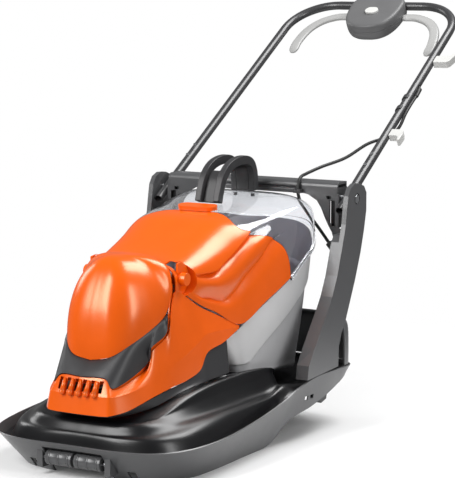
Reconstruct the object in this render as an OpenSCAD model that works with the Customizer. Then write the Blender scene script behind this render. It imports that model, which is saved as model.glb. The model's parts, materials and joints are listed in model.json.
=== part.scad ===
// Collecting hover mower. Millimetres, +Z up, -Y is the nose and +Y the handle.
// Shapes are drawn about x = 0 with y = 0 near the front of the grass box, then moved
// by shift_x and shift_y so that the origin lies under the middle of the whole machine, lead hooks included.

/* [Deck] */
// wall of the grey deck skirt
skirt_wall = 4.5; // [3:0.5:6]
// wall of the black hood
hood_wall = 3; // [2:0.5:4]
// diameter of the front rollers
roller_d = 27; // [24:1:28]

/* [Covers] */
// wall of the orange and grey covers
cover_wall = 2.6; // [2:0.2:3.2]
// wall of the clear lid and of the tub
lid_wall = 2.4; // [2:0.2:3]
// seam between two covers
seam = 0.8; // [0.6:0.1:1.2]

/* [Handle] */
// angle of the handle above the ground
handle_angle = 31.9; // [29:0.1:35]
// diameter of the handle tube
tube_d = 19; // [17:0.5:20]
// wall of the handle tube
tube_wall = 1.4; // [1:0.1:2]

/* [Cutter] */
// length of the blade, tip to tip
blade_length = 330; // [300:5:334]
// diameter of the fan
fan_d = 236; // [200:2:240]
// diameter of the motor shaft
shaft_d = 12; // [10:1:14]

/* [Lead] */
// diameter of the motor lead
lead_d = 6.6; // [6:0.2:7.2]

/* [Hidden] */
$fn = 48;
shift_x = -15;
shift_y = -305.5;
run = 0.05;
orange = [0.93, 0.34, 0.06];
grey = [0.3, 0.3, 0.31];
dark = [0.16, 0.16, 0.17];
black = [0.05, 0.05, 0.055];
pale = [0.86, 0.86, 0.84];
steel = [0.62, 0.63, 0.65];
copper = [0.72, 0.42, 0.2];
clear = [0.82, 0.87, 0.93, 0.3];
smoke = [0.6, 0.61, 0.62, 0.6];
rubber = [0.08, 0.08, 0.08];

spin_y = -125;
pin_y = -127;
pin_z = 342;
pin_r = 8;
pivot_y = 331;
pivot_z = 451;
pivot_r = 5;
foot_x = 211;
splay = -6.5;
straight = 598;
joint_s = 118;
bend_r = 100;
top_s = straight + bend_r - 1.1;
bail_s = top_s - 30;
bail_n = -11;
button_s = top_s - 49;
entry_s = 394;
entry_r = 5;
axle_y = -333;
axle_z = 33;
axle_r = 4;

// Value at t of a smooth curve through [position, value] pairs.
function spot(p, t, i = 0) = i >= len(p) - 2 || t < p[i + 1][0] ? i : spot(p, t, i + 1);
function rise(p, i) = let (a = max(i - 1, 0), b = min(i + 1, len(p) - 1))
    (p[b][1] - p[a][1]) / (p[b][0] - p[a][0]);
function curve(p, t) =
    let (i = spot(p, t), h = p[i + 1][0] - p[i][0], s = min(max((t - p[i][0]) / h, 0), 1))
    (2 * s * s * s - 3 * s * s + 1) * p[i][1] + (s * s * s - 2 * s * s + s) * h * rise(p, i)
    + (3 * s * s - 2 * s * s * s) * p[i + 1][1] + (s * s * s - s * s) * h * rise(p, i + 1);

// Point at s, from 0 to 1, along a list of points.
function along(pts, s) = curve([for (i = [0 : len(pts) - 1]) [i, pts[i]]], s * (len(pts) - 1));
function flip(p) = [-p[0], p[1], p[2]];
function mix(a, b, s) = a + (b - a) * s;
function unit(v) = v / norm(v);
function flat(v) = [v[0], v[1], 0];
function bow(c, power) = sign(c) * pow(abs(c), 2 / power);

// A half outline, nose to tail on the +X side, closed round the other side.
function whole(half, n) = concat([for (i = [0 : n]) along(half, i / n)],
    [for (i = [n - 1 : -1 : 1]) flip(along(half, i / n))]);
// The same half outline as an open band from the left tail round the nose to the right tail.
function band(half, n) = concat([for (i = [n : -1 : 1]) flip(along(half, i / n))],
    [for (i = [0 : n]) along(half, i / n)]);

function quad(a, b, c, d) = [[a, b, c], [a, c, d]];
function facing(g, i, j, closed) =
    let (n = len(g), m = len(g[0]),
        a = closed ? (i + n - 1) % n : max(i - 1, 0), b = closed ? (i + 1) % n : min(i + 1, n - 1))
    unit(cross(g[b][j] - g[a][j], g[i][min(j + 1, m - 1)] - g[i][max(j - 1, 0)]));

// A wall of thickness t behind a grid of points. Rows i may close on themselves, and the
// last column may be capped.
module shell(g, t, closed = false, capped = false) {
    n = len(g);
    m = len(g[0]);
    inner = [for (i = [0 : n - 1]) [for (j = [0 : m - 1]) g[i][j] - t * facing(g, i, j, closed)]];
    last = closed ? n - 1 : n - 2;
    k = n * m;
    skin = [for (i = [0 : last], j = [0 : m - 2]) let (a = i * m + j, b = (i + 1) % n * m + j)
        each concat(quad(a, a + 1, b + 1, b), quad(k + a, k + b, k + b + 1, k + a + 1))];
    rim = [for (i = [0 : last]) let (a = i * m, b = (i + 1) % n * m) each quad(a, b, k + b, k + a)];
    far = [for (i = [0 : last]) let (a = i * m + m - 1, b = (i + 1) % n * m + m - 1)
        each quad(a, k + a, k + b, b)];
    lids = [[for (i = [n - 1 : -1 : 0]) i * m + m - 1], [for (i = [0 : n - 1]) k + i * m + m - 1]];
    ends = closed ? [] : [for (j = [0 : m - 2]) let (e = (n - 1) * m)
        each concat(quad(j, k + j, k + j + 1, j + 1), quad(e + j, e + j + 1, k + e + j + 1, k + e + j))];
    polyhedron(concat([for (r = g) each r], [for (r = inner) each r]),
        concat(skin, rim, capped ? lids : far, ends), convexity = 8);
}

// A closed outline carried along rows, as a ring or with flat ends.
module loft(rows, closed = false) {
    n = len(rows);
    m = len(rows[0]);
    sides = [for (i = [0 : closed ? n - 1 : n - 2], j = [0 : m - 1])
        let (a = i * m, b = (i + 1) % n * m, l = (j + 1) % m) each quad(a + j, b + j, b + l, a + l)];
    ends = closed ? [] : [[for (j = [0 : m - 1]) j], [for (j = [m - 1 : -1 : 0]) (n - 1) * m + j]];
    polyhedron([for (r = rows) each r], concat(sides, ends), convexity = 8);
}

// A section swept along a path; ref is a direction that the path never takes.
module sweep(path, section, ref) {
    n = len(path);
    loft([for (i = [0 : n - 1])
        let (t = unit(path[min(i + 1, n - 1)] - path[max(i - 1, 0)]),
            e = unit(cross(ref, t)), f = cross(t, e))
        [for (q = section) path[i] + q[0] * e + q[1] * f]]);
}
function ring_of(r, n) = [for (i = [0 : n - 1]) r * [cos(360 * i / n), sin(360 * i / n)]];
function path_of(pts, n) = [for (i = [0 : n]) along(pts, i / n)];

module placed() translate([shift_x, shift_y, 0]) children();
module both() { children(); mirror([1, 0, 0]) children(); }
module across(x, y, z) translate([x, y, z]) rotate([0, 90, 0]) children();
// The handle's own plane: x across, y up the tubes, z out of it.
module in_handle() translate([0, pivot_y, pivot_z]) rotate([handle_angle, 0, 0]) children();

// Outlines, nose to tail. The deck's lower edge and its rim.
foot_line = [[0, -305, 0], [80, -303, 0], [140, -282, 0], [175, -235, 0], [185, -160, 0],
    [185, -60, 0], [186, 15, 0], [194, 52, 12], [210, 85, 46], [222, 160, 62], [224, 250, 82],
    [214, 318, 101], [150, 356, 108], [0, 363, 109]];
rim_line = [[0, -357, 66], [100, -356, 66], [168, -334, 66], [208, -280, 67], [225, -195, 70],
    [226, -90, 77], [226, 0, 88], [226, 50, 97], [227, 95, 109], [230, 170, 121], [231, 255, 120],
    [222, 328, 118], [155, 369, 118], [0, 376, 118]];
// The hood: shoulder under the motor, ridge outside it, and along them the height added to the
// scoop between the two and to the bulge outside the ridge.
shoulder_line = [[0, -296, 98], [60, -294, 99], [96, -278, 103], [122, -240, 111], [136, -170, 132],
    [144, -90, 143], [150, -10, 146], [157, 50, 147], [164, 95, 142], [150, 118, 112],
    [130, 124, 96], [95, 128, 91], [50, 130, 90], [0, 130, 90]];
ridge_line = [[0, -318, 84], [66, -316, 84], [118, -300, 86], [152, -256, 90], [173, -185, 95],
    [183, -95, 98], [185, -8, 99], [184, 50, 100], [179, 98, 112], [158, 126, 100], [134, 136, 93],
    [96, 141, 89], [50, 144, 88], [0, 144, 88]];
scoop_line = [[0, 8], [2, 7], [3, 1], [4, -9], [5, -13], [6, -14], [7, -12], [8, -2], [9, 3], [10, 0],
    [13, 0]];
bulge_line = [[0, 11], [4, 10], [8, 9], [9, 4], [10, 0], [13, 0]];
// The bonnet: lower edge, top of its upright band, and upper edge.
bonnet_low = [[0, -327, 117], [52, -327, 118], [70, -320, 120], [88, -290, 126], [106, -240, 142],
    [113, -208, 149], [118, -180, 154], [124, -150, 159], [130, -112, 172], [133, -90, 202],
    [137, -36, 213], [140.5, 14, 231]];
bonnet_band = [[0, -321, 152], [54, -321, 152], [68, -313, 152], [84, -284, 156], [101, -236, 168],
    [109, -205, 180], [115, -178, 192], [121, -148, 206], [127, -110, 225], [131, -86, 236],
    [136, -34, 236], [140.3, 15, 234]];
bonnet_top = [[0, -312, 181], [46, -307, 181], [66, -301, 163], [86, -225, 191], [93, -221, 221],
    [103, -186, 244], [105, -176, 272], [101, -160, 310], [98, -138, 320.5], [116, -93, 287.5],
    [126, -52, 268], [140, 16, 236]];
// The nose dome's edge, and its highest point.
nose_line = [[0, -284, 208], [40, -280, 216], [68, -257, 236], [86, -218, 258], [96, -178, 284],
    [97, -160, 326], [86, -149, 356], [60, -143, 376], [30, -141, 384], [0, -140.5, 386]];
nose_top = [0, -195, 389];
// The grass tub: rim and floor edge.
tub_rim = [[0, -18, 214], [90, -18, 214], [122, -14, 215], [131, 10, 220], [139, 32, 235],
    [153, 90, 267], [162, 177, 304], [165, 230, 335], [164, 258, 353], [156, 283, 375],
    [140, 295, 391], [108, 302, 403], [50, 305, 407], [0, 305, 407]];
tub_floor = [[0, 30, 141], [80, 30, 141], [120, 32, 141], [134, 44, 140], [140, 62, 138],
    [143, 100, 134], [144, 140, 130], [144, 180, 127], [143, 210, 124], [140, 236, 121],
    [128, 254, 120], [100, 262, 119], [50, 264, 119], [0, 264, 119]];
// The dome over the grass box: lower edge, half width and crest along y.
dome_low = [[-138, 324], [-93, 291], [-52, 272], [19, 239], [90, 272], [177, 309], [230, 340],
    [268, 363], [288, 386], [302, 405], [309, 410]];
dome_wide = [[-138, 98], [-93, 117], [-52, 127], [19, 142], [90, 156], [177, 165], [230, 168],
    [264, 168], [286, 160], [298, 145], [305, 120], [309, 92]];
dome_high = [[-138, 371], [-93, 380], [-40, 398], [0, 414], [45, 432], [95, 440], [154, 448],
    [220, 458], [266, 462], [287, 458], [299, 446], [306, 428], [309, 411.5]];
dome_power = 4;
// The orange duct cover is fluted: two creases run along each side, given as angles round the dome.
crease_low = [[-136, 2], [-60, 2], [-13, 3.5], [43, 10.2], [91, 14.2], [140, 23.8], [309, 20]];
crease_high = [[-136, 24], [-110, 22], [-75, 21], [-42, 20.5], [-7, 28.5], [29, 33.5], [57, 37.5],
    [83, 42], [309, 45]];
flute_fade = [[-136, 0], [-110, 0], [-60, 1], [309, 1]];
// Row by row from the side to the crest: depth of the flutes, and where the cover meets the clear lid.
flutes = [0, -2.2, -5.5, -2.6, -1.2, -3, -5.5, 0, 0, 0, 0, 0, 0];
cover_ends = [176, 159, 140, 126, 112, 97, 83, 76, 60, 57, 67, 82, 91];
crest_row = len(flutes) - 1;

function row_angle(k, y) = let (a = curve(crease_low, y), b = curve(crease_high, y))
    k <= 2 ? a * k / 2 : k <= 6 ? mix(a, b, (k - 2) / 4) : mix(b + 2.5, 90, (k - 7) / 5);
// Point of the dome on row k, moved out by d.
function dome(y, k, d = 0) = let (t = row_angle(k, y), low = curve(dome_low, y), w = curve(dome_wide, y),
        h = curve(dome_high, y) - low, c = bow(cos(t), dome_power), s = bow(sin(t), dome_power))
    [w * c, y, low + h * s] + d * unit([pow(c, 3) / w, 0, pow(s, 3) / h]);
// Rows of both sides, left to right, from a function of the row number.
function over_dome(half) = concat([for (r = half) [for (p = r) flip(p)]],
    [for (i = [len(half) - 2 : -1 : 0]) half[i]]);

module deck_skirt() color(grey) placed() {
    n = 32;
    low = [for (p = whole(foot_line, n)) [p[0], p[1], max(p[2], 0)]];
    top = whole(rim_line, n);
    difference() {
        union() {
            loft([for (i = [0 : 2 * n - 1])
                let (b = low[i], r = top[i], d = unit(flat(b - r)), w = skirt_wall)
                [b, b + w * d, mix(b, r, 0.5) + w * d, mix(b, r, 0.9) + w * d + [0, 0, -1],
                    r + w * 1.3 * d + [0, 0, -3], r + 3 * d, r + 0.6 * d + [0, 0, -1.5],
                    mix(b, r, 0.9), mix(b, r, 0.5)]], closed = true);
            both() translate([67, axle_y - 8, 14]) cube([12, 26, 34]);
        }
        // the rollers' window, with a notch outside each of its cheeks
        translate([-64, -380, -1]) cube([128, 80, 55]);
        both() translate([99, -380, -1]) cube([15, 100, 22]);
        across(-90, axle_y, axle_z) cylinder(r = axle_r + 0.1, h = 180);
        // clip slots in the side, ahead of the arms
        both() for (y = [128, 148]) translate([200, y, 78]) cube([50, 12, 8]);
    }
}

module hood_shell() color(black) placed() {
    n = 32;
    low = whole(foot_line, n);
    top = whole(rim_line, n);
    crest = whole(shoulder_line, n);
    ridge = whole(ridge_line, n);
    mouth = 98;
    shell([for (i = [0 : 2 * n - 1])
        let (b = low[i], r = top[i], d = unit(flat(b - r)), h = crest[i], k = ridge[i],
            place = 13 * (i > n ? 2 * n - i : i) / n,
            e = mix(b, r, 0.8) + (skirt_wall + curve([[0, 5], [8, 5], [11, 12], [13, 14]], place)) * d,
            f = e + 9 * d + [0, 0, -2], a = -90 + 180 * i / n,
            o = [mouth * cos(a), spin_y + mouth * sin(a), i < n / 2 || i > 3 * n / 2 ? 142 : 146])
        [e, f, mix(f, k, 0.45) + [0, 0, curve(bulge_line, place)], k,
            mix(k, h, 0.4) + [0, 0, curve(scoop_line, place)],
            mix(k, h, 0.8) + [0, 0, 0.7 * curve(scoop_line, place)],
            h, mix(h, o, 0.5), o]], hood_wall, closed = true);
}

module motor_base() color(grey) placed() {
    n = 26;
    low = [[0, -284, 111], [46, -283, 111], [66, -278, 112], [86, -264, 115], [107, -230, 124],
        [116, -202, 132], [123, -177, 139], [130, -146, 145], [136, -108, 149], [139, -84, 151],
        [143, -36, 153], [142, -2, 156]];
    g = [for (i = [0 : 2 * n]) let (a = band(low, n)[i], p = band(bonnet_low, n)[i],
        b = p + 3 * unit([-p[0], -100 - p[1], 0]) - [0, 0, 2.6 * seam])
        [a, mix(a, b, 0.5) + [0, 0, -2], b]];
    // stops short of the grass tub
    cut = [for (r = g) if (r[2][1] < -20) r];
    shell(cut, cover_wall);
}

module bonnet() color(orange) placed() {
    n = 26;
    low = band(bonnet_low, n);
    mid = band(bonnet_band, n);
    top = band(bonnet_top, n);
    shell([for (i = [0 : 2 * n]) let (a = low[i], b = mid[i], c = top[i])
        [a, mix(a, b, 0.5), b, mix(b, c, 0.3), mix(b, c, 0.65), c]], cover_wall);
    // ribs of the air intake, thicker towards the foot
    for (i = [-2 : 2]) translate([i * 17, -321, 153]) rotate([-22, 0, 0]) {
        cylinder(d1 = 10, d2 = 6, h = 25);
        sphere(d = 10);
    }
}

module nose_trim() color(grey) placed() {
    n = 18;
    low = [[0, -313, 183.5], [46, -308, 183.5], [66, -303.5, 166.5], [86, -232.5, 196.5], [93, -228, 227],
        [103, -190.5, 248.5], [103, -182, 275.5]];
    high = [[0, -286, 206], [40, -282.5, 213.5], [68, -260, 233.5], [86, -222, 254.5], [92, -203, 265],
        [96, -187, 274], [98, -179, 281]];
    shell([for (i = [0 : 2 * n]) let (a = band(low, n)[i], b = band(high, n)[i])
        [a, mix(a, b, 0.5) + [0, -1.5, 0], b,
            b + 9 * unit([-b[0], nose_top[1] + 25 - b[1], 0]) + [0, 0, 1]]], cover_wall);
}

module nose_dome() color(orange) placed() {
    n = 22;
    edge = whole(nose_line, n);
    steps = [90, 76, 62, 48, 34, 20, 7];
    shell([for (p = edge) [for (u = steps) let (out = bow(sin(u), 2.3))
        [nose_top[0] + (p[0] - nose_top[0]) * out, nose_top[1] + (p[1] - nose_top[1]) * out,
            p[2] + (nose_top[2] - p[2]) * bow(cos(u), 2.3)]]], cover_wall, closed = true, capped = true);
}

// One arm seen from the side, y then z: its outer plate, and the thick part below the pivot.
arm_plate = [[121, 120], [126, 147], [150, 178], [178, 212], [205, 243], [224, 268], [245, 307], [260, 347],
    [273, 380], [281, 405], [286, 435], [291, 460], [302, 475], [320, 482], [342, 481], [362, 474],
    [373, 460], [373, 424], [363, 385], [348, 341], [325, 290], [302, 247], [283, 212], [266, 190],
    [254, 165], [252, 125]];
arm_post = [[121, 120], [126, 147], [150, 178], [178, 212], [205, 243], [224, 268], [245, 307], [260, 347],
    [269, 370], [280, 384], [358, 384], [348, 341], [325, 290], [302, 247], [283, 212], [266, 190],
    [254, 165], [252, 125]];
arm_x = 222;
arm_out = 232;

module upright(pts, x0, x1) translate([x0, 0, 0]) rotate([90, 0, 90]) linear_extrude(x1 - x0) polygon(pts);
module arm() difference() {
    union() {
        upright(arm_plate, arm_x, arm_out);
        upright(arm_post, 206, arm_x + 0.01);
    }
    across(200, pivot_y, pivot_z) cylinder(r = pivot_r + 0.1, h = 60);
    across(arm_out - 4, pivot_y, pivot_z) cylinder(r = 11, h = 20);
    // hollow of the inner side
    upright([[196, 214], [216, 244], [250, 306], [266, 346], [330, 346], [316, 300], [288, 240],
        [262, 206]], 200, 216);
}
module arm_right() color(grey) placed() arm();
module arm_left() color(grey) placed() mirror([1, 0, 0]) arm();

beam_front = 312;
beam_end = 197;
beam_low = 458;
beam_top = 483;
beam_t = 4.5;
// Section of the beam, y then z: a channel open below with a rounded front edge.
function beam_edge(r) = [for (a = [180 : -15 : 90])
    [beam_front + 10 + r * cos(a), beam_top - 10 + r * sin(a)]];
gusset = [[113, 460], [132, 456], [151, 445], [161, 430], [168, 414], [176, 398], [185, 383], [193, 356],
    [205.5, 346], [205.5, 391], [200, 391], [200, 460]];
module crossbeam() color(grey) placed() difference() {
    union() {
        upright(concat([[beam_front, beam_low]], beam_edge(10),
            [[beam_front + 42, beam_top], [beam_front + 42, 464], [beam_front + 38, 464],
                [beam_front + 38, beam_top - beam_t]],
            [for (i = [6 : -1 : 0]) beam_edge(10 - beam_t)[i]], [[beam_front + beam_t, beam_low]]),
            -beam_end, beam_end);
        both() translate([0, beam_front + 5, 0]) rotate([90, 0, 0]) linear_extrude(5) polygon(gusset);
        both() translate([beam_end - 5, beam_front, 392]) cube([5, 44, 80]);
    }
    both() translate([178, beam_front, 452]) cube([10, 30, 7], center = true);
    both() translate([184.5, beam_front - 1, 395]) cube([7.4, 8, 50]);
    both() across(180, pivot_y, pivot_z) cylinder(r = pivot_r + 0.1, h = 40);
}

module rear_wall() color(grey) placed() {
    n = 14;
    low = [[0, 371, 119], [110, 370, 119], [168, 360, 119], [204, 338, 119], [220, 312, 119],
        [223, 290, 119]];
    shell([for (i = [0 : 2 * n]) let (p = band(low, n)[i], d = unit(flat([0, 230, 0] - p)))
        [p, p + [0, 0, 35], p + 1.5 * d + [0, 0, 72], p + 7 * d + [0, 0, 86], p + 20 * d + [0, 0, 92]]], 4);
}

module rear_feet() color(dark) placed() both()
    upright([[195, 70], [246, 88], [239, 60], [217, 55]], 192, 213);

module roller_axle() color(steel) placed()
    across(-76, axle_y, axle_z) cylinder(r = axle_r, h = 152);
module roller() across(3, axle_y, axle_z) difference() {
    union() {
        cylinder(d = roller_d, h = 56);
        for (z = [8, 28, 48]) translate([0, 0, z - 2]) cylinder(d = roller_d + 1.6, h = 4);
    }
    translate([0, 0, -1]) cylinder(r = axle_r + run, h = 60);
}
module roller_right() color(dark) placed() roller();
module roller_left() color(dark) placed() mirror([1, 0, 0]) roller();

module on_spin(z = 0) placed() translate([0, spin_y, z]) children();

module motor_plate() color(steel) on_spin(147.4) difference() {
    cylinder(r = 108, h = 5);
    translate([0, 0, -1]) cylinder(r = 12.2, h = 8);
    for (a = [30 : 60 : 330]) rotate(a) translate([68, 0, -1]) cylinder(r = 14, h = 8);
}
module motor_can() color(steel) on_spin(152.8) difference() {
    cylinder(r = 46, h = 120);
    translate([0, 0, -1]) cylinder(r = 43, h = 122);
    for (a = [0 : 90 : 270]) rotate(a) translate([40, -9, 22]) cube([12, 18, 26]);
}
module motor_windings() color(copper) on_spin(166) both() difference() {
    translate([0, -30, 0]) cube([42, 60, 92]);
    translate([0, 0, -1]) cylinder(r = 30, h = 100);
    translate([-1, -40, -1]) cube([6, 80, 100]);
    difference() {
        translate([0, 0, -1]) cylinder(r = 70, h = 100);
        translate([0, 0, -2]) cylinder(r = 42.4, h = 102);
    }
}
module motor_cap() color(dark) on_spin(273) difference() {
    cylinder(r = 46, h = 20);
    translate([0, 0, -1]) cylinder(r = 40, h = 12);
    translate([0, 0, -1]) cylinder(r = 12.2, h = 24);
}
module brush_gear() color([0.55, 0.42, 0.18]) on_spin(275.5) both() translate([17, -5, 0]) cube([20, 10, 7]);
module motor_bearings() color(steel) on_spin() for (z = [147, 287]) translate([0, 0, z]) difference() {
    cylinder(r = 12, h = 7.5);
    translate([0, 0, -1]) cylinder(r = shaft_d / 2 + run, h = 10);
}

module rotor_shaft() color(steel) on_spin() {
    translate([0, 0, 54]) cylinder(d = shaft_d, h = 244);
    translate([0, 0, 172]) cylinder(r = 28.5, h = 80);
    translate([0, 0, 272]) cylinder(r = 15, h = 10);
}
module fan() color(black) on_spin(80) {
    difference() {
        cylinder(d = fan_d, h = 3);
        translate([0, 0, -1]) cylinder(d = shaft_d + 0.4, h = 6);
    }
    difference() {
        translate([0, 0, -26]) cylinder(r = 17, h = 62);
        translate([0, 0, -27]) cylinder(d = shaft_d + 0.4, h = 70);
    }
    for (a = [0 : 30 : 330]) rotate(a) translate([44, -1.5, 2]) rotate([0, 0, 18]) cube([66, 3, 26]);
}
module blade_spacers() color(black) on_spin() for (z = [41.5, 47.75]) translate([0, 0, z]) difference() {
    cylinder(r = 16, h = 6);
    translate([0, 0, -1]) cylinder(r = 5.4, h = 8);
}
module blade() color(steel) on_spin(37.6) difference() {
    union() {
        translate([-blade_length / 2, -24, 0]) cube([blade_length, 48, 3.6]);
    }
    translate([0, 0, -1]) cylinder(r = 5.4, h = 8);
    for (a = [0, 180]) rotate(a) translate([72, 6, -1]) cube([110, 30, 8]);
}
module blade_bolt() color(steel) on_spin() {
    translate([0, 0, 26]) cylinder(r = 11, h = 7, $fn = 6);
    translate([0, 0, 33]) cylinder(r = 18, h = 4.4);
    translate([0, 0, 37]) cylinder(r = 5, h = 14.8);
}

// Pins that the grass box turns on, on a bridge over the motor.
bridge_z = 300;
cheek_r = 30;
module hinge_pins() color(orange) placed() both() {
    // round cheek that fills the cut-out in the duct cover
    intersection() {
        across(92, pin_y, pin_z) cylinder(r = cheek_r, h = 4);
        translate([80, pin_y - 9, 200]) cube([30, 80, 200]);
    }
    across(70, pin_y, pin_z) cylinder(r = pin_r, h = 30);
    across(99, pin_y, pin_z) cylinder(r = 12, h = 12);
    across(70, pin_y, pin_z) cylinder(r = 12, h = 5);
    translate([70, pin_y - 10, bridge_z]) cube([5, 20, pin_z - bridge_z]);
    translate([0, pin_y - 10, bridge_z]) cube([75, 20, 5]);
    translate([22, pin_y - 10, 293.2]) cube([18, 20, bridge_z - 293]);
}

module grass_tub() color(smoke) placed() {
    n = 26;
    rim = whole(tub_rim, n);
    floor_edge = whole(tub_floor, n);
    mid = [0, 150, 130];
    steps = [0, 0.12, 0.4, 0.7, 0.9];
    difference() {
        shell([for (i = [2 * n - 1 : -1 : 0]) let (a = rim[i], b = floor_edge[i])
            concat([for (s = steps) mix(a, b, s) + unit(flat(a - [0, 140, 0])) * 9 * s * (1 - s) * 4 * 0.5],
                [b, mix(b, [mid[0], mid[1], b[2]], 0.07) + [0, 0, -4],
                    mix(b, [mid[0], mid[1], b[2]], 0.6) + [0, 0, -4]])],
            lid_wall, closed = true, capped = true);
        // grass inlet in the front wall
        translate([-70, -40, 158]) cube([140, 90, 44]);
    }
}
module tub_arms() color(smoke) placed() both() difference() {
    upright([[pin_y - 14, pin_z - 10], [pin_y - 10, pin_z + 11],
        [pin_y, pin_z + 14], [pin_y + 12, pin_z + 9], [-40, 250], [-20.6, 226], [-20.6, 206],
        [-60, 236]], 77, 82);
    across(76, pin_y, pin_z) cylinder(r = pin_r + run, h = 7);
}

module duct_cover() color(orange) placed() difference() {
    m = 11;
    shell(over_dome([for (k = [0 : crest_row]) [for (j = [0 : m]) let (y = mix(-136, cover_ends[k], j / m))
        dome(y, k, flutes[k] * curve(flute_fade, y))]]), cover_wall);
    both() across(50, pin_y, pin_z) cylinder(r = cheek_r + 1.5, h = 70);
}
module lid_ears() color(orange) placed() both() difference() {
    union() {
        across(84, pin_y, pin_z) cylinder(r = 13.5, h = 5);
        upright([[pin_y - 4, pin_z + 10], [pin_y + 4, pin_z - 10], [-60, 346], [-52, 381],
            [-96, 366]], 84, 89);
    }
    across(80, pin_y, pin_z) cylinder(r = pin_r + run, h = 20);
}
module clear_lid() color(clear) placed() {
    m = 13;
    far = 309;
    half = [for (k = [0 : crest_row]) let (near = cover_ends[k] + seam) [for (j = [0 : m])
        let (s = pow(j / m, 0.8)) dome(mix(near, far, s), k, flutes[k] * max(1 - 4 * s, 0))]];
    // lip outside the rim of the tub
    lip = [for (p = half[0]) p + [3.5, 0, -6]];
    shell(over_dome(concat([lip], half)), lid_wall);
}
module lid_cap() color(orange) placed() translate([0, 97, 441.2]) rotate([7.7, 0, 0]) {
    translate([-27, -13, 0]) cube([54, 30, 8]);
    for (x = [-27, 27]) translate([x, 2, 0]) cylinder(r = 15, h = 8);
}
module carry_handle() color(dark) placed() {
    path = path_of([[0, 140, 450.6], [0, 147, 472], [0, 160, 498], [0, 182, 516], [0, 212, 525],
        [0, 246, 526], [0, 270, 518], [0, 282, 500], [0, 285, 480], [0, 285, 461]], 26);
    both() sweep(path, [[-9, 14], [9, 14], [9, 27], [-9, 27]], [1, 0, 0]);
    // the web between the rails leaves a hole at the front of the grip
    for (part = [[0, 8], [14, 26]]) sweep([for (i = [part[0] : part[1]]) path[i]],
        [[-9, -14.5], [-3, -14.5], [-3, 14.5], [-9, 14.5]], [1, 0, 0]);
}
// Screws up into the rear foot of the carry handle, inside the lid.
module handle_screws() color(dark) placed()
    for (x = [-20, 20]) translate([x, 283, 448]) cylinder(d = 8, h = 6);

module pivot_bolts() color(steel) placed() both() {
    across(191, pivot_y, pivot_z) cylinder(r = pivot_r, h = 37.4);
    across(arm_out - 3.8, pivot_y, pivot_z) cylinder(r = 9, h = 4.2, $fn = 6);
    across(184.5, pivot_y, pivot_z) cylinder(r = 9, h = 7, $fn = 6);
}

module on_handle() placed() in_handle() children();
lean = atan(-splay / straight);
inner_d = tube_d - 2 * tube_wall;
function tube_x(s) = foot_x + splay * s / straight;
// A stretch of the right-hand tube, from s0 to s1 up the handle.
module tube_run(s0, s1, d) translate([foot_x, 0, 0]) rotate([0, 0, lean])
    translate([0, s0, 0]) rotate([-90, 0, 0]) cylinder(d = d, h = s1 - s0);
module tube() difference() {
    tube_run(-42, joint_s - 0.3, tube_d);
    tube_run(-43, joint_s + 1, inner_d);
    translate([foot_x, 0, 0]) rotate([0, 90, 0]) cylinder(r = pivot_r + run, h = 60, center = true);
}
module tube_right() color(dark) on_handle() tube();
module tube_left() color(dark) on_handle() mirror([1, 0, 0]) tube();
// The bow: two legs, a bend on each and the bar. The bends' wall is drawn a little thinner, as
// bending leaves it, so that it ends inside the wall of the straight runs. The lead goes in by a
// hole in the right leg.
module top_bow() color(dark) on_handle() {
    reach = tube_x(straight) - bend_r * cos(lean);
    bend_y = straight - bend_r * sin(lean);
    lap = 1;
    for (side = [0, 1]) mirror([side, 0, 0]) difference() {
        tube_run(joint_s + 0.3, straight / cos(lean) + lap, tube_d);
        tube_run(joint_s - 1, straight / cos(lean) + 2, inner_d);
        if (side == 0) translate([tube_x(entry_s) + 6.4, entry_s - 5.5, 0]) rotate([0, 0, -54])
            rotate([0, 90, 0]) cylinder(r = entry_r, h = 18, center = true);
    }
    both() translate([reach, bend_y, 0]) rotate([0, 0, lean])
        rotate_extrude(angle = 90 - lean) translate([bend_r, 0]) tube_section(0.4);
    translate([-reach - lap, bend_y + bend_r, 0]) rotate([90, 0, 90])
        linear_extrude(2 * (reach + lap)) tube_section();
}
module tube_section(thin = 0) difference() {
    circle(d = tube_d - thin);
    circle(d = inner_d + thin);
}
module tube_plugs() color(dark) on_handle() both() tube_run(joint_s - 32, joint_s + 32, inner_d - 0.4);
module tube_screws() color(steel) on_handle() both() for (s = [joint_s - 18, joint_s + 18])
    translate([tube_x(s), s, tube_d / 2 + 0.1]) cylinder(d = 7, h = 2.4);

module switch_shape(h, inset = 0) linear_extrude(h) polygon([for (i = [0 : 47]) let (a = 7.5 * i)
    [(65 - inset) * bow(cos(a), 2.8),
        top_s - 18 + ((sin(a) > 0 ? 42 : 92) - inset) * bow(sin(a), 2.4)]]);
module bail_room() translate([0, bail_s, bail_n]) rotate([0, 90, 0])
    cylinder(r = 7.5, h = 160, center = true);
module switch_room() translate([0, top_s, 0]) rotate([0, 90, 0])
    cylinder(d = tube_d + 0.3, h = 200, center = true);
module switch_lower() color(grey) on_handle() difference() {
    translate([0, 0, -26]) switch_shape(25.7);
    switch_room();
    bail_room();
    translate([-40, top_s - 94, -22]) cube([80, 70, 30]);
}
module switch_upper() color(grey) on_handle() difference() {
    translate([0, 0, 0.3]) switch_shape(17.7);
    switch_room();
    translate([-40, top_s - 94, -1]) cube([80, 70, 15]);
    translate([0, button_s, 0]) stadium(11.6, 40);
}
module stadium(r, h) {
    translate([-4, -r, 0]) cube([8, 2 * r, h]);
    for (x = [-4, 4]) translate([x, 0, 0]) cylinder(r = r, h = h);
}
module lock_button() color(pale) on_handle() translate([0, button_s, 0]) {
    translate([0, 0, 10]) stadium(11.2, 12);
    translate([0, 0, 9]) stadium(14, 4);
}
module button_spring() color(steel) on_handle() translate([0, button_s, -11.8]) difference() {
    cylinder(r = 8, h = 20.6);
    translate([0, 0, -1]) cylinder(r = 6.8, h = 24);
}
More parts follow.
